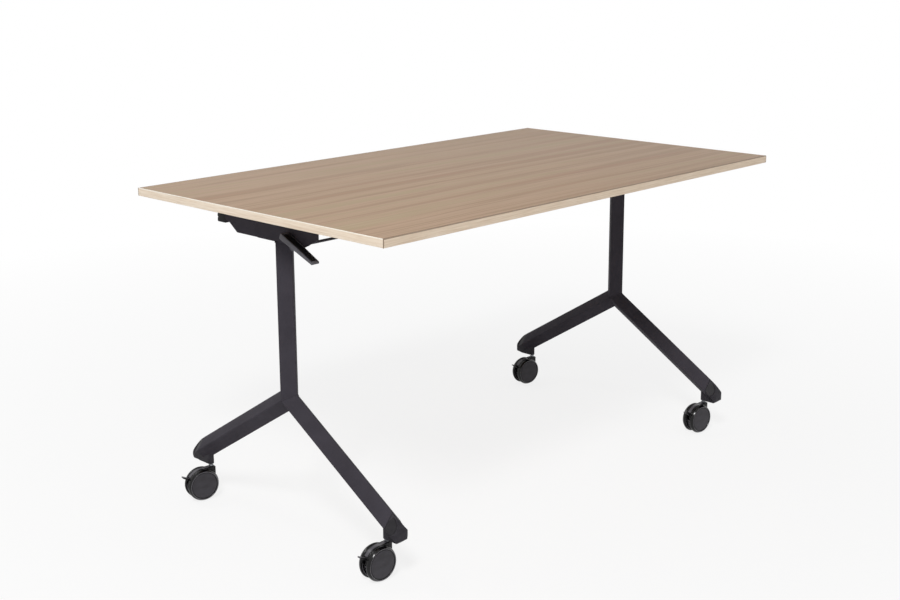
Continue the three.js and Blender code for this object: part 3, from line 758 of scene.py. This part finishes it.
# The wheel is turned about Y: its hub and tread, the bevel at its rim, and the lip and recess
tread = rounded_profile(
    [(0, 12), (WHEEL_BORE, 12), (WHEEL_BORE, WHEEL_INNER), (WHEEL_RADIUS, WHEEL_INNER), BEVEL_START],
    [0.4, 0.6, 2.2],
    8,
)
bevel = bent(BEVEL_START, BEVEL_PULL, BEVEL_END)[1:]
recess = [(33.9, WHEEL_OUTER), (32.8, WHEEL_OUTER), (32.1, 17.8), (31.9, DISC_SEAT), (0, DISC_SEAT)]
stand_y = spun_by(-90, "X")
wheel_mesh = as_mesh("wheel", moved(lathed(tread + bevel + recess, WHEEL_STEPS), stand_y), crease=50)
disc_profile = rounded_profile(
    [(0, 16.5), (DISC_RADIUS, 16.5), (DISC_RADIUS, 17.4), (DISC_RADIUS - 1, 17.8), (0, 18.1)],
    [0.1, 0.2, 0.4],
)
disc_mesh = as_mesh("disc", moved(lathed(disc_profile, WHEEL_STEPS), stand_y), crease=50)

UPRIGHT_XZ = Matrix(((1, 0, 0, 0), (0, 0, -1, 0), (0, 1, 0, 0), (0, 0, 0, 1)))
axle_middle = shifted(TRAIL, 0, WHEEL_RADIUS)


def arc(centre, radius, start, end, steps):
    turns = [math.radians(start + (end - start) * step / steps) for step in range(steps + 1)]
    return [(centre[0] + radius * math.cos(t), centre[1] + radius * math.sin(t)) for t in turns]


def hood_shape():
    """The web between the wheels, the hood over it and the head round the stem, slots cut."""
    axle = (TRAIL, WHEEL_RADIUS)
    neck = [(NECK_FRONT, NECK_TOP), (NECK_BACK, NECK_TOP), (NECK_BACK, NECK_FOOT)]
    outline = arc(axle, HOOD_RADIUS, *HOOD_ARC, 28) + neck + arc(axle, WEB_RADIUS, *WEB_ARC, 40)
    side = moved(plate([outline], 2 * WEB_HALF, soft=1.2), UPRIGHT_XZ)
    head = oblong(0, STEM_HEAD_FOOT, STEM_HEAD_RADIUS, STEM_HEAD_TOP)
    side = drilled(side, "UNION", lathed(rounded_profile(head, [0.8, 1.6])))
    pocket = drawn_out(oblong(-TAB_POCKET_HALF, 0, TAB_POCKET_HALF, 60), -15, 4.6)
    lean = axle_middle @ spun_by(TAB_ANGLE, "Y").inverted() @ shifted(x=TAB_POCKET_START)
    side = drilled(side, "DIFFERENCE", moved(pocket, lean, spun_by(-90, "Z")))
    slot_outline = softened(oblong(*SLOT_CORNERS), 1.5)
    for angle in SLOT_ANGLES:
        slot = drawn_out(slot_outline, 0, SLOT_DEPTH)
        outward = axle_middle @ spun_by(90 - angle, "Y") @ shifted(z=SLOT_REACH) @ spun_by(90, "Z")
        side = drilled(side, "DIFFERENCE", moved(slot, outward))
    socket_outline = circle((0, 0), SOCKET_RADIUS)[::-1]
    return drilled(side, "DIFFERENCE", drawn_out(socket_outline, STEM_HEAD_TOP - 6, STEM_HEAD_TOP + 4))


hood_mesh = as_mesh("hood", eased(hood_shape(), HOOD_ROUNDS), crease=60)

tab_outline = softened(
    [(-4, -3.4), (4, -3.2), (30, -1.5), (30, 1.5), (4, 3.2), (-4, 3.4)],
    [2.5, 2, 1.2, 1.2, 2, 2.5],
)
tab_place = axle_middle @ spun_by(-TAB_ANGLE, "Y") @ shifted(x=TAB_REACH)
tab = moved(plate([tab_outline], TAB_WIDTH, soft=0.8), tab_place, UPRIGHT_XZ)
tab_mesh = as_mesh("tab", tab, crease=40)

stem_profile = rounded_profile(
    [(0, 60), (4, 60), (4, 77), (5.6, 77), (5.6, 78.6), (4, 78.6), (4, 110), (0, 110)],
    [0.3, 0.2, 0.3, 0.3, 0.2, 0.8],
)
stem_mesh = as_mesh("stem", lathed(stem_profile), crease=40)


def plated_steel(name, dark, light, roughness):
    """Zinc plated steel: bright, with the drifting grey of the bath and fine drawing lines."""
    plating = Finish(name, "zinc_plated_steel", Metallic=1.0)
    drift = plating.noise(scale=60, detail=4)
    lines = plating.noise(scale=900, detail=2, stretch=(1, 1, 0.05))
    tone = plating.between(plating.spread(drift, *NOISE_RANGE), dark, light)
    sheen = plating.spread(lines, *NOISE_RANGE, roughness - 0.06, roughness + 0.1)
    plating.dress(tone, sheen, lines, 0.00002)
    return plating


zinc = plated_steel("zinc_plate", paint(104, 106, 110), paint(150, 152, 156), 0.3)


def carried(node, finish):
    """A CAD node that stays as it is takes its finish."""
    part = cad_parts[node]
    part.data.materials.clear()
    part.data.materials.append(finish.material)


for side, leg_x in LEG_X.items():
    for end, way in END_WAY.items():
        corner = f"{end}_{side}"
        here = at_metres(leg_x, way * STEM_REACH, turn=CASTOR_TURN[corner])
        axle = here @ Matrix.Translation((TRAIL * MM, 0, WHEEL_RADIUS * MM))
        fitted(f"{corner}_stem", stem_mesh, zinc, "frame", [f"castor_stem_{corner}"], here)
        node = f"castor_housing_{corner}"
        fitted(f"{corner}_hood", hood_mesh, hood_nylon, f"castor_{corner}", [node], here)
        node = f"brake_tab_{corner}"
        fitted(f"{corner}_tab", tab_mesh, hood_nylon, f"brake_{corner}", [node], here)
        for wheel, turn in (("wheel_a", 0), ("wheel_b", 180)):
            place = axle @ spun_by(turn, "Z")
            node = f"{wheel}_{corner}"
            fitted(f"{corner}_{wheel}_tyre", wheel_mesh, wheel_gloss_and_lip_highlight, node, [node], place)
            fitted(f"{corner}_{wheel}_disc", disc_mesh, disc_satin, node, place=place)
        carried(f"castor_axle_{corner}", zinc)

# The crossbeam. A 40 by 30 mm steel tube between the heads, welded to a plate at each end,
# powder coated with the legs, and held to each head by two socket screws.
BEAM_TOP = 698.0
BEAM_BOTTOM = 668.0
BEAM_HALF_DEPTH = 20.0
BEAM_END = 561.7
BEAM_PLATE = 3.5
BEAM_PLATE_HALF = 40.0
BEAM_WELD_RADIUS = 1.8
BEAM_WELD_INSET = 0.6
BOLT_Y = 31.0
BOLT_SEAT = 26.1
BOLT_PROFILE = [
    (0, 1.2), (2.5, 1.2), (2.5, 3.6), (4.6, 3.6), (5.3, 3.2),
    (5.5, 2.6), (5.5, 0), (3, 0), (3, -9), (0, -9),
]


beam_outline = softened(oblong(-BEAM_HALF_DEPTH, BEAM_BOTTOM, BEAM_HALF_DEPTH, BEAM_TOP), 3)
plate_start = BEAM_END - BEAM_PLATE
beam = moved(drawn_out(beam_outline, -plate_start, plate_start), UPRIGHT_YZ)
end_outline = softened(oblong(-BEAM_PLATE_HALF, BEAM_BOTTOM, BEAM_PLATE_HALF, BEAM_TOP), 5)
end_x = BEAM_END - BEAM_PLATE / 2
end_plates = [
    moved(plate([end_outline], BEAM_PLATE, soft=0.4), shifted(x=way * end_x), UPRIGHT_YZ)
    for way in (-1, 1)
]
beam_mesh = as_mesh("beam", gathered(beam, *end_plates))
fitted("beam_tube", beam_mesh, anthracite, "frame", ["crossbeam"])
ring_x = plate_start - BEAM_WELD_INSET
beam_rings = [[(way * ring_x, y, z) for y, z in beam_outline] for way in (-1, 1)]
beam_weld_mesh = swept("beam_weld", beam_rings, BEAM_WELD_RADIUS, closed=True)
fitted("beam_weld", beam_weld_mesh, anthracite, "frame")

bolt_mesh = as_mesh("bolt", lathed(BOLT_PROFILE, hexed=(1, 2)), crease=30)
bolt_z = (BEAM_TOP + BEAM_BOTTOM) / 2
for side, leg_x in LEG_X.items():
    for end, way in END_WAY.items():
        inward = -1 if leg_x > 0 else 1
        place = at_metres(leg_x + inward * BOLT_SEAT, way * BOLT_Y, bolt_z) @ spun_by(90 * inward, "Y")
        node = f"beam_bolt_{end}_{side}"
        fitted(f"{side}_{end}_screw", bolt_mesh, zinc, "frame", [node], place)

# Tilt arms. Each is one sheet of 3 mm steel folded into a channel, deep outside and shallow
# inside, with bend radii, a lug for the pivot pin and one for the release rod, powder coated
# and screwed up into the board through the web.
ARM_TOP = 721.7
ARM_WEB = 718.7
ARM_OUTER = 29.5
ARM_INNER = 26.5
ARM_FRONT = -142.0
ARM_BACK = 163.0
ARM_DEPTH = 54.2
ARM_FLANGE = 21.7
ARM_NOSE = (42.0, 32.7)
ARM_TAIL = (14.0, 35.0)
ARM_TAIL_SLOPE = 40.0
BEND_INSIDE = 1.2
BEND_OUTSIDE = 4.2
ROD_LUG_RADIUS = 10.0
PIN_LUG_RADIUS = 13.0
BUSH_BORE_RADIUS = 6.3
WOOD_SCREW_PLACES = [(-12, -128), (12, -112), (12, 118), (-12, 148)]

lug_bottom = ROD_Z - ROD_LUG_RADIUS
section = softened(
    [
        (-ARM_OUTER, lug_bottom),
        (-ARM_INNER, lug_bottom),
        (-ARM_INNER, ARM_WEB),
        (ARM_INNER, ARM_WEB),
        (ARM_INNER, ARM_TOP - ARM_FLANGE),
        (ARM_OUTER, ARM_TOP - ARM_FLANGE),
        (ARM_OUTER, ARM_TOP),
        (-ARM_OUTER, ARM_TOP),
    ],
    [0, 0, BEND_INSIDE, BEND_INSIDE, 0, 0, BEND_OUTSIDE, BEND_OUTSIDE],
)
arm_side = softened(
    [
        (ARM_FRONT, ARM_TOP),
        (ARM_FRONT, ARM_TOP - ARM_NOSE[1]),
        (ARM_FRONT + ARM_NOSE[0], ARM_TOP - ARM_DEPTH),
        (ARM_BACK - ARM_TAIL_SLOPE, ARM_TOP - ARM_DEPTH),
        (ARM_BACK - ARM_TAIL[0], ARM_TOP - ARM_TAIL[1]),
        (ARM_BACK, ARM_TOP - ARM_TAIL[1]),
        (ARM_BACK, ARM_TOP),
    ],
    [0, 3, 4, 4, 2, 2, 0],
)
mirrored_z = Matrix.Scale(-1, 4, (0, 0, 1))
arm = moved(drawn_out(section, ARM_FRONT - 5, ARM_BACK + 5), UPRIGHT_XZ, mirrored_z)
lug = drawn_out(circle((ROD_Y, ROD_Z), ROD_LUG_RADIUS, steps=48)[::-1], -31, 31)
arm_sides = drilled(drawn_out(arm_side, -32, 32), "UNION", lug)
arm = drilled(arm, "INTERSECT", moved(arm_sides, UPRIGHT_YZ))
pin_lug = drawn_out(circle((PIVOT_Y, PIVOT_Z), PIN_LUG_RADIUS, steps=48)[::-1], ARM_INNER, ARM_OUTER)
arm = drilled(arm, "UNION", moved(pin_lug, UPRIGHT_YZ))
pin_bore = drawn_out(circle((PIVOT_Y, PIVOT_Z), PIVOT_RADIUS + RUNNING_GAP)[::-1], -PAST_SIDES, PAST_SIDES)
arm = drilled(arm, "DIFFERENCE", moved(pin_bore, UPRIGHT_YZ))
bush_bore = drawn_out(circle((ROD_Y, ROD_Z), BUSH_BORE_RADIUS)[::-1], -PAST_SIDES, 0)
arm = drilled(arm, "DIFFERENCE", moved(bush_bore, UPRIGHT_YZ))
arm_meshes = {"left": as_mesh("arm_left", arm.copy(), crease=25)}
arm_meshes["right"] = as_mesh("arm_right", moved(arm, Matrix.Scale(-1, 4, (1, 0, 0))), crease=25)

wood_screw_profile = [(0, 0.9), (1.6, 0.9), (1.9, 2.2), (3.2, 2.0), (4.0, 1.2), (4.2, 0.0), (0, 0)]
wood_screw_mesh = as_mesh("wood_screw", lathed(wood_screw_profile, steps=36, hexed=(1, 2)), crease=30)

pin_profile = rounded_profile(
    [(0, -32), (7.4, -32), (9.5, -29.8), (6, -29.8), (6, 29.8), (9.5, 29.8), (7.4, 32), (0, 32)],
    [2, 0.5, 0.2, 0.2, 0.5, 2],
)
pin_mesh = as_mesh("pin", moved(lathed(pin_profile), spun_by(90, "Y")), crease=35)

for side, leg_x in LEG_X.items():
    here = at_metres(leg_x)
    fitted(f"{side}_arm", arm_meshes[side], anthracite, "top", [f"tilt_arm_{side}"], here)
    place = at_metres(leg_x, PIVOT_Y, PIVOT_Z)
    fitted(f"{side}_pin", pin_mesh, anthracite, "frame", [f"pivot_pin_{side}"], place)
    for number, (x, y) in enumerate(WOOD_SCREW_PLACES):
        place = at_metres(leg_x + x, y, ARM_WEB) @ spun_by(180, "X")
        fitted(f"{side}_wood_screw_{number}", wood_screw_mesh, zinc, "top", place=place)

# Buffers. A block of black thermoplastic rubber behind each arm, which the next table's board
# meets when tables are nested. It is grooved across its back and screwed to the board.
BUFFER_START = 163.3
BUFFER_END = 191.3
BUFFER_BOTTOM = 682.7
BUFFER_WIDTH = 25.0
GROOVES = 3
GROOVE_FIRST = 8.0
GROOVE_PITCH = 9.0
GROOVE_FLOOR = BUFFER_END - 1.5

buffer_corners = [(BUFFER_START, BUFFER_BOTTOM), (BUFFER_END, BUFFER_BOTTOM)]
for groove in range(GROOVES):
    low = BUFFER_BOTTOM + GROOVE_FIRST + GROOVE_PITCH * groove
    buffer_corners += [(BUFFER_END, low), (GROOVE_FLOOR, low + 1)]
    buffer_corners += [(GROOVE_FLOOR, low + 3), (BUFFER_END, low + 4)]
buffer_corners += [(BUFFER_END, ARM_TOP), (BUFFER_START, ARM_TOP)]
buffer_outline = softened(buffer_corners, [1.5, 3] + [0.4] * 4 * GROOVES + [1.5, 1.5])
rubber = moulded_nylon("buffer_rubber", paint(24, 24, 25), paint(32, 32, 34), 0.6, erosion=(1300, 0.00005))
buffer_x = ARM_OUTER - BUFFER_WIDTH / 2
for side, leg_x in LEG_X.items():
    outward = -1 if leg_x < 0 else 1
    block = plate([buffer_outline], BUFFER_WIDTH, soft=1.2)
    mesh = as_mesh(f"buffer_{side}", moved(block, shifted(x=outward * buffer_x), UPRIGHT_YZ))
    fitted(f"{side}_buffer", mesh, rubber, "top", [f"arm_buffer_{side}"], at_metres(leg_x))

# The release. A 6 mm rod in nylon bushes carries a pawl at each head and the lever at the
# user's left, a nylon moulding whose upper face has a pocket with a rubber grip glued in. A
# torsion spring on the rod turns the pawls back into the catches.
ROD_LEFT = -629.4
ROD_RIGHT = 621.5
ROD_RADIUS = 3.0
LEVER_INNER_X = -614.7
LEVER_WIDTH = 20.0
LEVER_LENGTH = 109.0
LEVER_MIDDLE = 60.0
LEVER_SLOPE = math.radians(24)
LEVER_ROOT = (-47.0, 688.2)
POCKET_START = 7.0
POCKET_END = 103.0
POCKET_HALF = 8.0
GRIP_WIDTH = 15.6
GRIP_GAP = 0.2
PAWL_X = 19.5
PAWL_WIDTH = 8.0
SPRING_RADIUS = 4.8
SPRING_PITCH = 1.75
SPRING_START = -14
SPRING_WIRE = 0.7
SPRING_COILS = 9
COIL_STEPS = 16

rod_profile = [
    (0, ROD_LEFT),
    (2.4, ROD_LEFT),
    (ROD_RADIUS, ROD_LEFT + 0.6),
    (ROD_RADIUS, ROD_RIGHT - 0.8),
    (2.2, ROD_RIGHT),
    (0, ROD_RIGHT),
]
rod_mesh = as_mesh("rod", moved(lathed(rod_profile, steps=32), shifted(0, ROD_Y, ROD_Z), spun_by(90, "Y")))
fitted("rod", rod_mesh, anthracite, "release", ["release_rod"])


def along_lever(*places):
    """Points at distances from the lever's root and offsets from its middle line."""
    forward = Vector((-math.cos(LEVER_SLOPE), -math.sin(LEVER_SLOPE)))
    across = Vector((forward.y, -forward.x))
    return [tuple(Vector(LEVER_ROOT) + far * forward + off * across) for far, off in places]


lever_outline = softened(
    along_lever(
        (0, -7), (0, 7), (LEVER_MIDDLE, 4.9),
        (LEVER_LENGTH, 2.5), (LEVER_LENGTH, -2.5), (LEVER_MIDDLE, -4.4),
    ),
    [2.5, 2.5, 40, 3.4, 1.2, 40],
)
lever_x = LEVER_INNER_X - LEVER_WIDTH / 2
blade = moved(plate([lever_outline], LEVER_WIDTH, soft=0.9), shifted(x=lever_x), UPRIGHT_YZ)
pocket_outline = along_lever(
    (POCKET_START, 4.6), (LEVER_MIDDLE, 2.9), (POCKET_END, 0.8),
    (POCKET_END, 12), (POCKET_START, 12),
)
pocket = moved(drawn_out(pocket_outline, -POCKET_HALF, POCKET_HALF), shifted(x=lever_x), UPRIGHT_YZ)
blade = drilled(blade, "DIFFERENCE", pocket)
hub_profile = rounded_profile(oblong(0, 0, 8.5, 12), [1, 0.5])
lever_hub = moved(lathed(hub_profile), shifted(LEVER_INNER_X - 12, ROD_Y, ROD_Z), spun_by(90, "Y"))
lever_mesh = as_mesh("lever", gathered(blade, lever_hub), crease=40)
lever_nylon = moulded_nylon("lever_nylon", paint(80, 79, 84), paint(90, 89, 95), 0.34)
fitted("lever", lever_mesh, lever_nylon, "release", ["release_lever"])

grip_start, grip_end = POCKET_START + GRIP_GAP, POCKET_END - GRIP_GAP
grip_outline = along_lever(
    (grip_start, 4.7), (LEVER_MIDDLE, 3.0), (grip_end, 0.9),
    (grip_end, 1.9), (LEVER_MIDDLE, 4.1), (grip_start, 5.9),
)
grip = moved(plate([grip_outline], GRIP_WIDTH, soft=0.3), shifted(x=lever_x), UPRIGHT_YZ)
grip_rubber = moulded_nylon("grip_rubber", paint(16, 16, 17), paint(22, 22, 24), 0.5)
fitted("lever_grip", as_mesh("lever_grip", grip), grip_rubber, "release")

nylon_white = moulded_nylon("bush_nylon", paint(205, 204, 196), paint(222, 221, 214), 0.4, "white_nylon")
bush_profile = softened(
    [(3.3, 0), (6, 0), (6, 3.3), (8.5, 3.3), (8.5, 4.8), (3.3, 4.8)],
    [0.2, 0.3, 0, 0.4, 0.4, 0.2],
)
pawl_corners = [(-7, 0), (7, 0), (8, 17), (27.4, 17), (27.4, 21), (0, 21)]
pawl_outline = softened([(y + ROD_Y, z + ROD_Z) for y, z in pawl_corners], [0, 0, 1.5, 0.8, 0.8, 4])
barrel_profile = rounded_profile(oblong(0, -4, 7, 4), [0.6, 0.6])
for side, leg_x in LEG_X.items():
    outward = -1 if leg_x < 0 else 1
    here = at_metres(leg_x)
    bush_turn = shifted(outward * ARM_OUTER, ROD_Y, ROD_Z) @ spun_by(-90 * outward, "Y")
    bush_mesh = as_mesh(f"bush_{side}", moved(lathed(bush_profile, ring=True), bush_turn))
    fitted(f"{side}_bush", bush_mesh, nylon_white, "top", [f"rod_bush_{side}"], here)
    finger = moved(plate([pawl_outline], PAWL_WIDTH), shifted(x=outward * PAWL_X), UPRIGHT_YZ)
    barrel = moved(lathed(barrel_profile), shifted(outward * PAWL_X, ROD_Y, ROD_Z), spun_by(90, "Y"))
    pawl_mesh = as_mesh(f"pawl_{side}", gathered(finger, barrel))
    fitted(f"{side}_pawl", pawl_mesh, zinc, "release", [f"latch_pawl_{side}"], here)


def coil_point(step):
    turn = 2 * math.pi * step / COIL_STEPS
    x = LEG_X["left"] + SPRING_START + SPRING_PITCH * step / COIL_STEPS
    return (x, ROD_Y + SPRING_RADIUS * math.sin(turn), ROD_Z + SPRING_RADIUS * math.cos(turn))


coil = [coil_point(step) for step in range(SPRING_COILS * COIL_STEPS + 1)]
spring_path = coil + [(coil[-1][0] + 1, ROD_Y + 2, ARM_WEB - 1.2)]
spring_mesh = swept("spring", [spring_path], SPRING_WIRE)
fitted("return_spring", spring_mesh, zinc, "top")

# The board. 18 mm particle board faced on both sides with an oak print laminate, its grain
# along the table, and lipped on all four edges with a 2 mm oak band, the arris rounded over.
TABLE_TOP = 740.0
BOARD_BOTTOM = 722.0
CORE_X = 672.9
CORE_Y = 397.9
HALF_LENGTH = 675.0
HALF_DEPTH = 400.0
BAND = 2.0
GLUE_GAP = 0.1
BROAD_GRAIN = (0.5, 24, 24)
FINE_GRAIN = (2.4, 190, 190)
PORE_GRAIN = (30, 1300, 1300)
GRAIN_SWAY = 0.035
PORE_SHARE = 0.35
PORE_BROWN = paint(126, 104, 84)
# Where the painted shadow line lies on the board beside the lipping, how strong it is and its colour.
LIP_SHADOW_LINE = (0.3960, 0.3968)
LIP_SHADOW_SHARE = 0.8
LIP_SHADOW_BROWN = paint(96, 78, 62)
# The band's upper arris line is painted light: shade on the long bands, a highlight on the short ones.
ARRIS_PAINTED_LINE = (0.7381, 0.7387)
BUTT_LINE = (0.6738, 0.6742)
# Brown of the real butt joints, and of the painted shade along the long bands' arris.
BAND_JOINT_AND_SHADE_BROWN = paint(112, 90, 72)


def oak_laminate():
    """Light oak in soft bands along X, with fine streaks, pores and a painted shadow line at the lipping.
    """
    oak = Finish("oak_laminate", "oak_laminate", Specular_IOR_Level=0.06)
    point = oak.point()
    sway = oak.node("ShaderNodeCombineXYZ", {}, {1: oak.noise(1.6, 2, (1, 0.4, 1)) * GRAIN_SWAY})
    swayed = oak.node("ShaderNodeVectorMath", {"operation": "ADD"}, {0: point, 1: sway})
    broad = oak.noise(1, 3, BROAD_GRAIN, swayed)
    fine = oak.noise(1, 4, FINE_GRAIN, swayed)
    pores = oak.noise(1, 2, PORE_GRAIN, swayed)
    tone = oak.ramp(
        broad * 0.6 + fine * 0.4,
        (0.28, paint(149, 118, 97)),
        (0.40, paint(174, 142, 119)),
        (0.46, paint(165, 140, 116)),
        (0.53, paint(184, 156, 133)),
        (0.60, paint(173, 152, 125)),
        (0.72, paint(188, 168, 141)),
    )
    pored = oak.between(oak.spread(pores, 0.64, 0.8) * PORE_SHARE, tone, PORE_BROWN)
    # A painted shadow line on the board next to the front and back lipping.
    lipping = oak.spread(oak.part(point, "Y"), *LIP_SHADOW_LINE)
    lip_shadowed = oak.between(lipping * LIP_SHADOW_SHARE, pored, LIP_SHADOW_BROWN)
    oak.dress(lip_shadowed, oak.spread(fine, *NOISE_RANGE, 0.42, 0.52), fine * 0.6 + pores * 0.4, 0.00008)
    return oak


def oak_band(name, stretch, tones, arris, share, butt):
    """The lipping: paler oak with short fine streaks, and a line along its upper arris, painted shade on
    the long bands and a painted highlight on the short ones.
    """
    oak = Finish(name, "oak_edge_band", Specular_IOR_Level=0.15)
    grain = oak.noise(1, 4, stretch)
    tone = oak.ramp(grain, *zip((0.3, 0.5, 0.7), tones))
    point = oak.point()
    # The arris line: painted shade or painted highlight, by the colour given.
    tone = oak.between(oak.spread(oak.part(point, "Z"), *ARRIS_PAINTED_LINE) * share, tone, arris)
    tone = oak.between(oak.spread(oak.part(point, "X"), *BUTT_LINE) * butt, tone, BAND_JOINT_AND_SHADE_BROWN)
    oak.dress(tone, oak.spread(grain, *NOISE_RANGE, 0.4, 0.5), grain, 0.00005)
    return oak


laminate = oak_laminate()
core = plate([oblong(-CORE_X, -CORE_Y, CORE_X, CORE_Y)], TABLE_TOP - BOARD_BOTTOM, soft=0.25)
core = moved(core, shifted(z=(TABLE_TOP + BOARD_BOTTOM) / 2))
fitted("board", as_mesh("board", core), laminate, "top", ["table_top"])

band_section = softened(oblong(-BAND, BOARD_BOTTOM, 0, TABLE_TOP), [0.15, 1.0, 1.0, 0.15])
# The short end bands are painted lighter than the long ones, as more light falls on the ends: lit and
# shaded copies of one oak.
long_shaded_tones = (paint(216, 193, 168), paint(230, 210, 187), paint(240, 223, 203))
short_lit_tones = (paint(226, 206, 183), paint(238, 221, 200), paint(246, 232, 214))
long_oak_painted_shade = oak_band("oak_band_long_painted_shade", (14, 500, 500), long_shaded_tones, BAND_JOINT_AND_SHADE_BROWN, 0.75, 0.8)
short_oak_painted_light = oak_band("oak_band_short_painted_light", (500, 14, 500), short_lit_tones, paint(250, 244, 232), 0.9, 0.0)
short_reach = HALF_DEPTH - BAND - GLUE_GAP
for name, turn, half, out, finish in (
    ("front", 180, HALF_LENGTH, HALF_DEPTH, long_oak_painted_shade),
    ("back", 0, HALF_LENGTH, HALF_DEPTH, long_oak_painted_shade),
    ("left", 90, short_reach, HALF_LENGTH, short_oak_painted_light),
    ("right", -90, short_reach, HALF_LENGTH, short_oak_painted_light),
):
    strip = moved(drawn_out(band_section, -half, half), spun_by(turn, "Z"), shifted(y=out), UPRIGHT_YZ)
    mesh = as_mesh(f"{name}_band", strip)
    fitted(f"{name}_band", mesh, finish, "top", [f"edge_band_{name}"])

# The studio. A white floor that keeps the table's shadow, and fades to the white of the room
# further out. The room itself lights softly, and three lamps do the rest.
WHITE = (1, 1, 1, 1)
FLOOR_HALF = 20000
FLOOR_FADE = (0.9, 3.0)
FLOOR_GLOW = (0.82, 1.0)
ROOM_LIGHT = 0.36


def seen_rays(bench, *kinds):
    """Whether the ray is one of these kinds, by the names of Light Path's outputs."""
    seen = bench.node("ShaderNodeLightPath", {}, {}, kinds[0])
    for kind in kinds[1:]:
        seen = bench.math("MAXIMUM", seen, bench.node("ShaderNodeLightPath", {}, {}, kind))
    return seen


ground = Finish("studio_floor", Specular_IOR_Level=0.1)
mottle = ground.noise(scale=0.8, detail=2)
floor_tone = ground.spread(mottle, *NOISE_RANGE)
floor_tone = ground.between(floor_tone, paint(243, 243, 243), paint(246, 246, 246))
ground.dress(floor_tone, 0.9, mottle, 0.0001)
glow = ground.node("ShaderNodeEmission", {}, {"Color": WHITE, "Strength": 1.0})
far = ground.spread(ground.length(ground.point()), *FLOOR_FADE, *FLOOR_GLOW)
share = far * seen_rays(ground, "Is Camera Ray", "Is Glossy Ray")
surface = Signal(ground, ground.shader.outputs[0])
mixed = ground.node("ShaderNodeMixShader", {}, {0: share, 1: surface, 2: glow})
ground.put(ground.tree.nodes["Material Output"].inputs["Surface"], mixed)

floor_shape = bmesh.new()
bmesh.ops.create_grid(floor_shape, x_segments=8, y_segments=8, size=FLOOR_HALF)
floor_mesh = as_mesh("floor", floor_shape)
floor_mesh.materials.append(ground.material)
floor = bpy.data.objects.new("floor", floor_mesh)
bpy.context.scene.collection.objects.link(floor)

world = bpy.data.worlds.new("room")
world.use_nodes = True
room = Bench(world.node_tree)
room_share = seen_rays(room, "Is Camera Ray", "Is Glossy Ray", "Is Transmission Ray")
room_light = room.node("ShaderNodeBackground", {}, {"Color": WHITE, "Strength": ROOM_LIGHT})
room_white = room.node("ShaderNodeBackground", {}, {"Color": WHITE, "Strength": 1.0})
chosen = room.node("ShaderNodeMixShader", {}, {0: room_share, 1: room_light, 2: room_white})
room.put(room.tree.nodes["World Output"].inputs["Surface"], chosen)
room.tree.nodes.remove(room.tree.nodes["Background"])
bpy.context.scene.world = world


def lamp(name, place, target, size, power):
    light = bpy.data.lights.new(name, "AREA")
    light.shape = "RECTANGLE"
    light.size, light.size_y = size
    light.energy = power
    holder = bpy.data.objects.new(name, light)
    bpy.context.scene.collection.objects.link(holder)
    holder.location = place
    aim = Vector(target) - Vector(place)
    holder.rotation_euler = aim.to_track_quat("-Z", "Y").to_euler()


lamp("key_lamp", (-3.6, -2.2, 4.6), (-0.2, 0, 0.4), (1.0, 1.4), 188)
lamp("back_lamp", (-1.1, 2.3, 2.4), (-0.3, 0, 0.1), (0.6, 0.3), 7)
lamp("front_lamp", (1.6, -4.6, 1.0), (0.4, 0, 0.5), (1.5, 1.0), 9)

# The camera. It stands where the photograph was taken, in front of the left corner and looking
# down, with its place, angles and lens fitted to the table's corners.
CAMERA_PLACE = (-2.33739, -2.15789, 1.27020)
CAMERA_YAW = 0.808188
CAMERA_PITCH = 0.221335
CAMERA_ROLL = -0.004915
camera = bpy.data.cameras.new("camera")
camera.sensor_width = 36.0
camera.lens = 53.59
camera.shift_y = -0.06
view_point = bpy.data.objects.new("camera", camera)
bpy.context.scene.collection.objects.link(view_point)
ahead = Vector(
    (
        math.sin(CAMERA_YAW) * math.cos(CAMERA_PITCH),
        math.cos(CAMERA_YAW) * math.cos(CAMERA_PITCH),
        -math.sin(CAMERA_PITCH),
    )
)
right = Vector((math.cos(CAMERA_YAW), -math.sin(CAMERA_YAW), 0))
up = right.cross(ahead)
rolled = right * math.cos(CAMERA_ROLL) + up * math.sin(CAMERA_ROLL)
upward = up * math.cos(CAMERA_ROLL) - right * math.sin(CAMERA_ROLL)
frame_of_view = Matrix((rolled, upward, -ahead)).transposed().to_4x4()
view_point.matrix_world = Matrix.Translation(CAMERA_PLACE) @ frame_of_view
bpy.context.scene.camera = view_point
bpy.context.scene.view_settings.view_transform = "Standard"
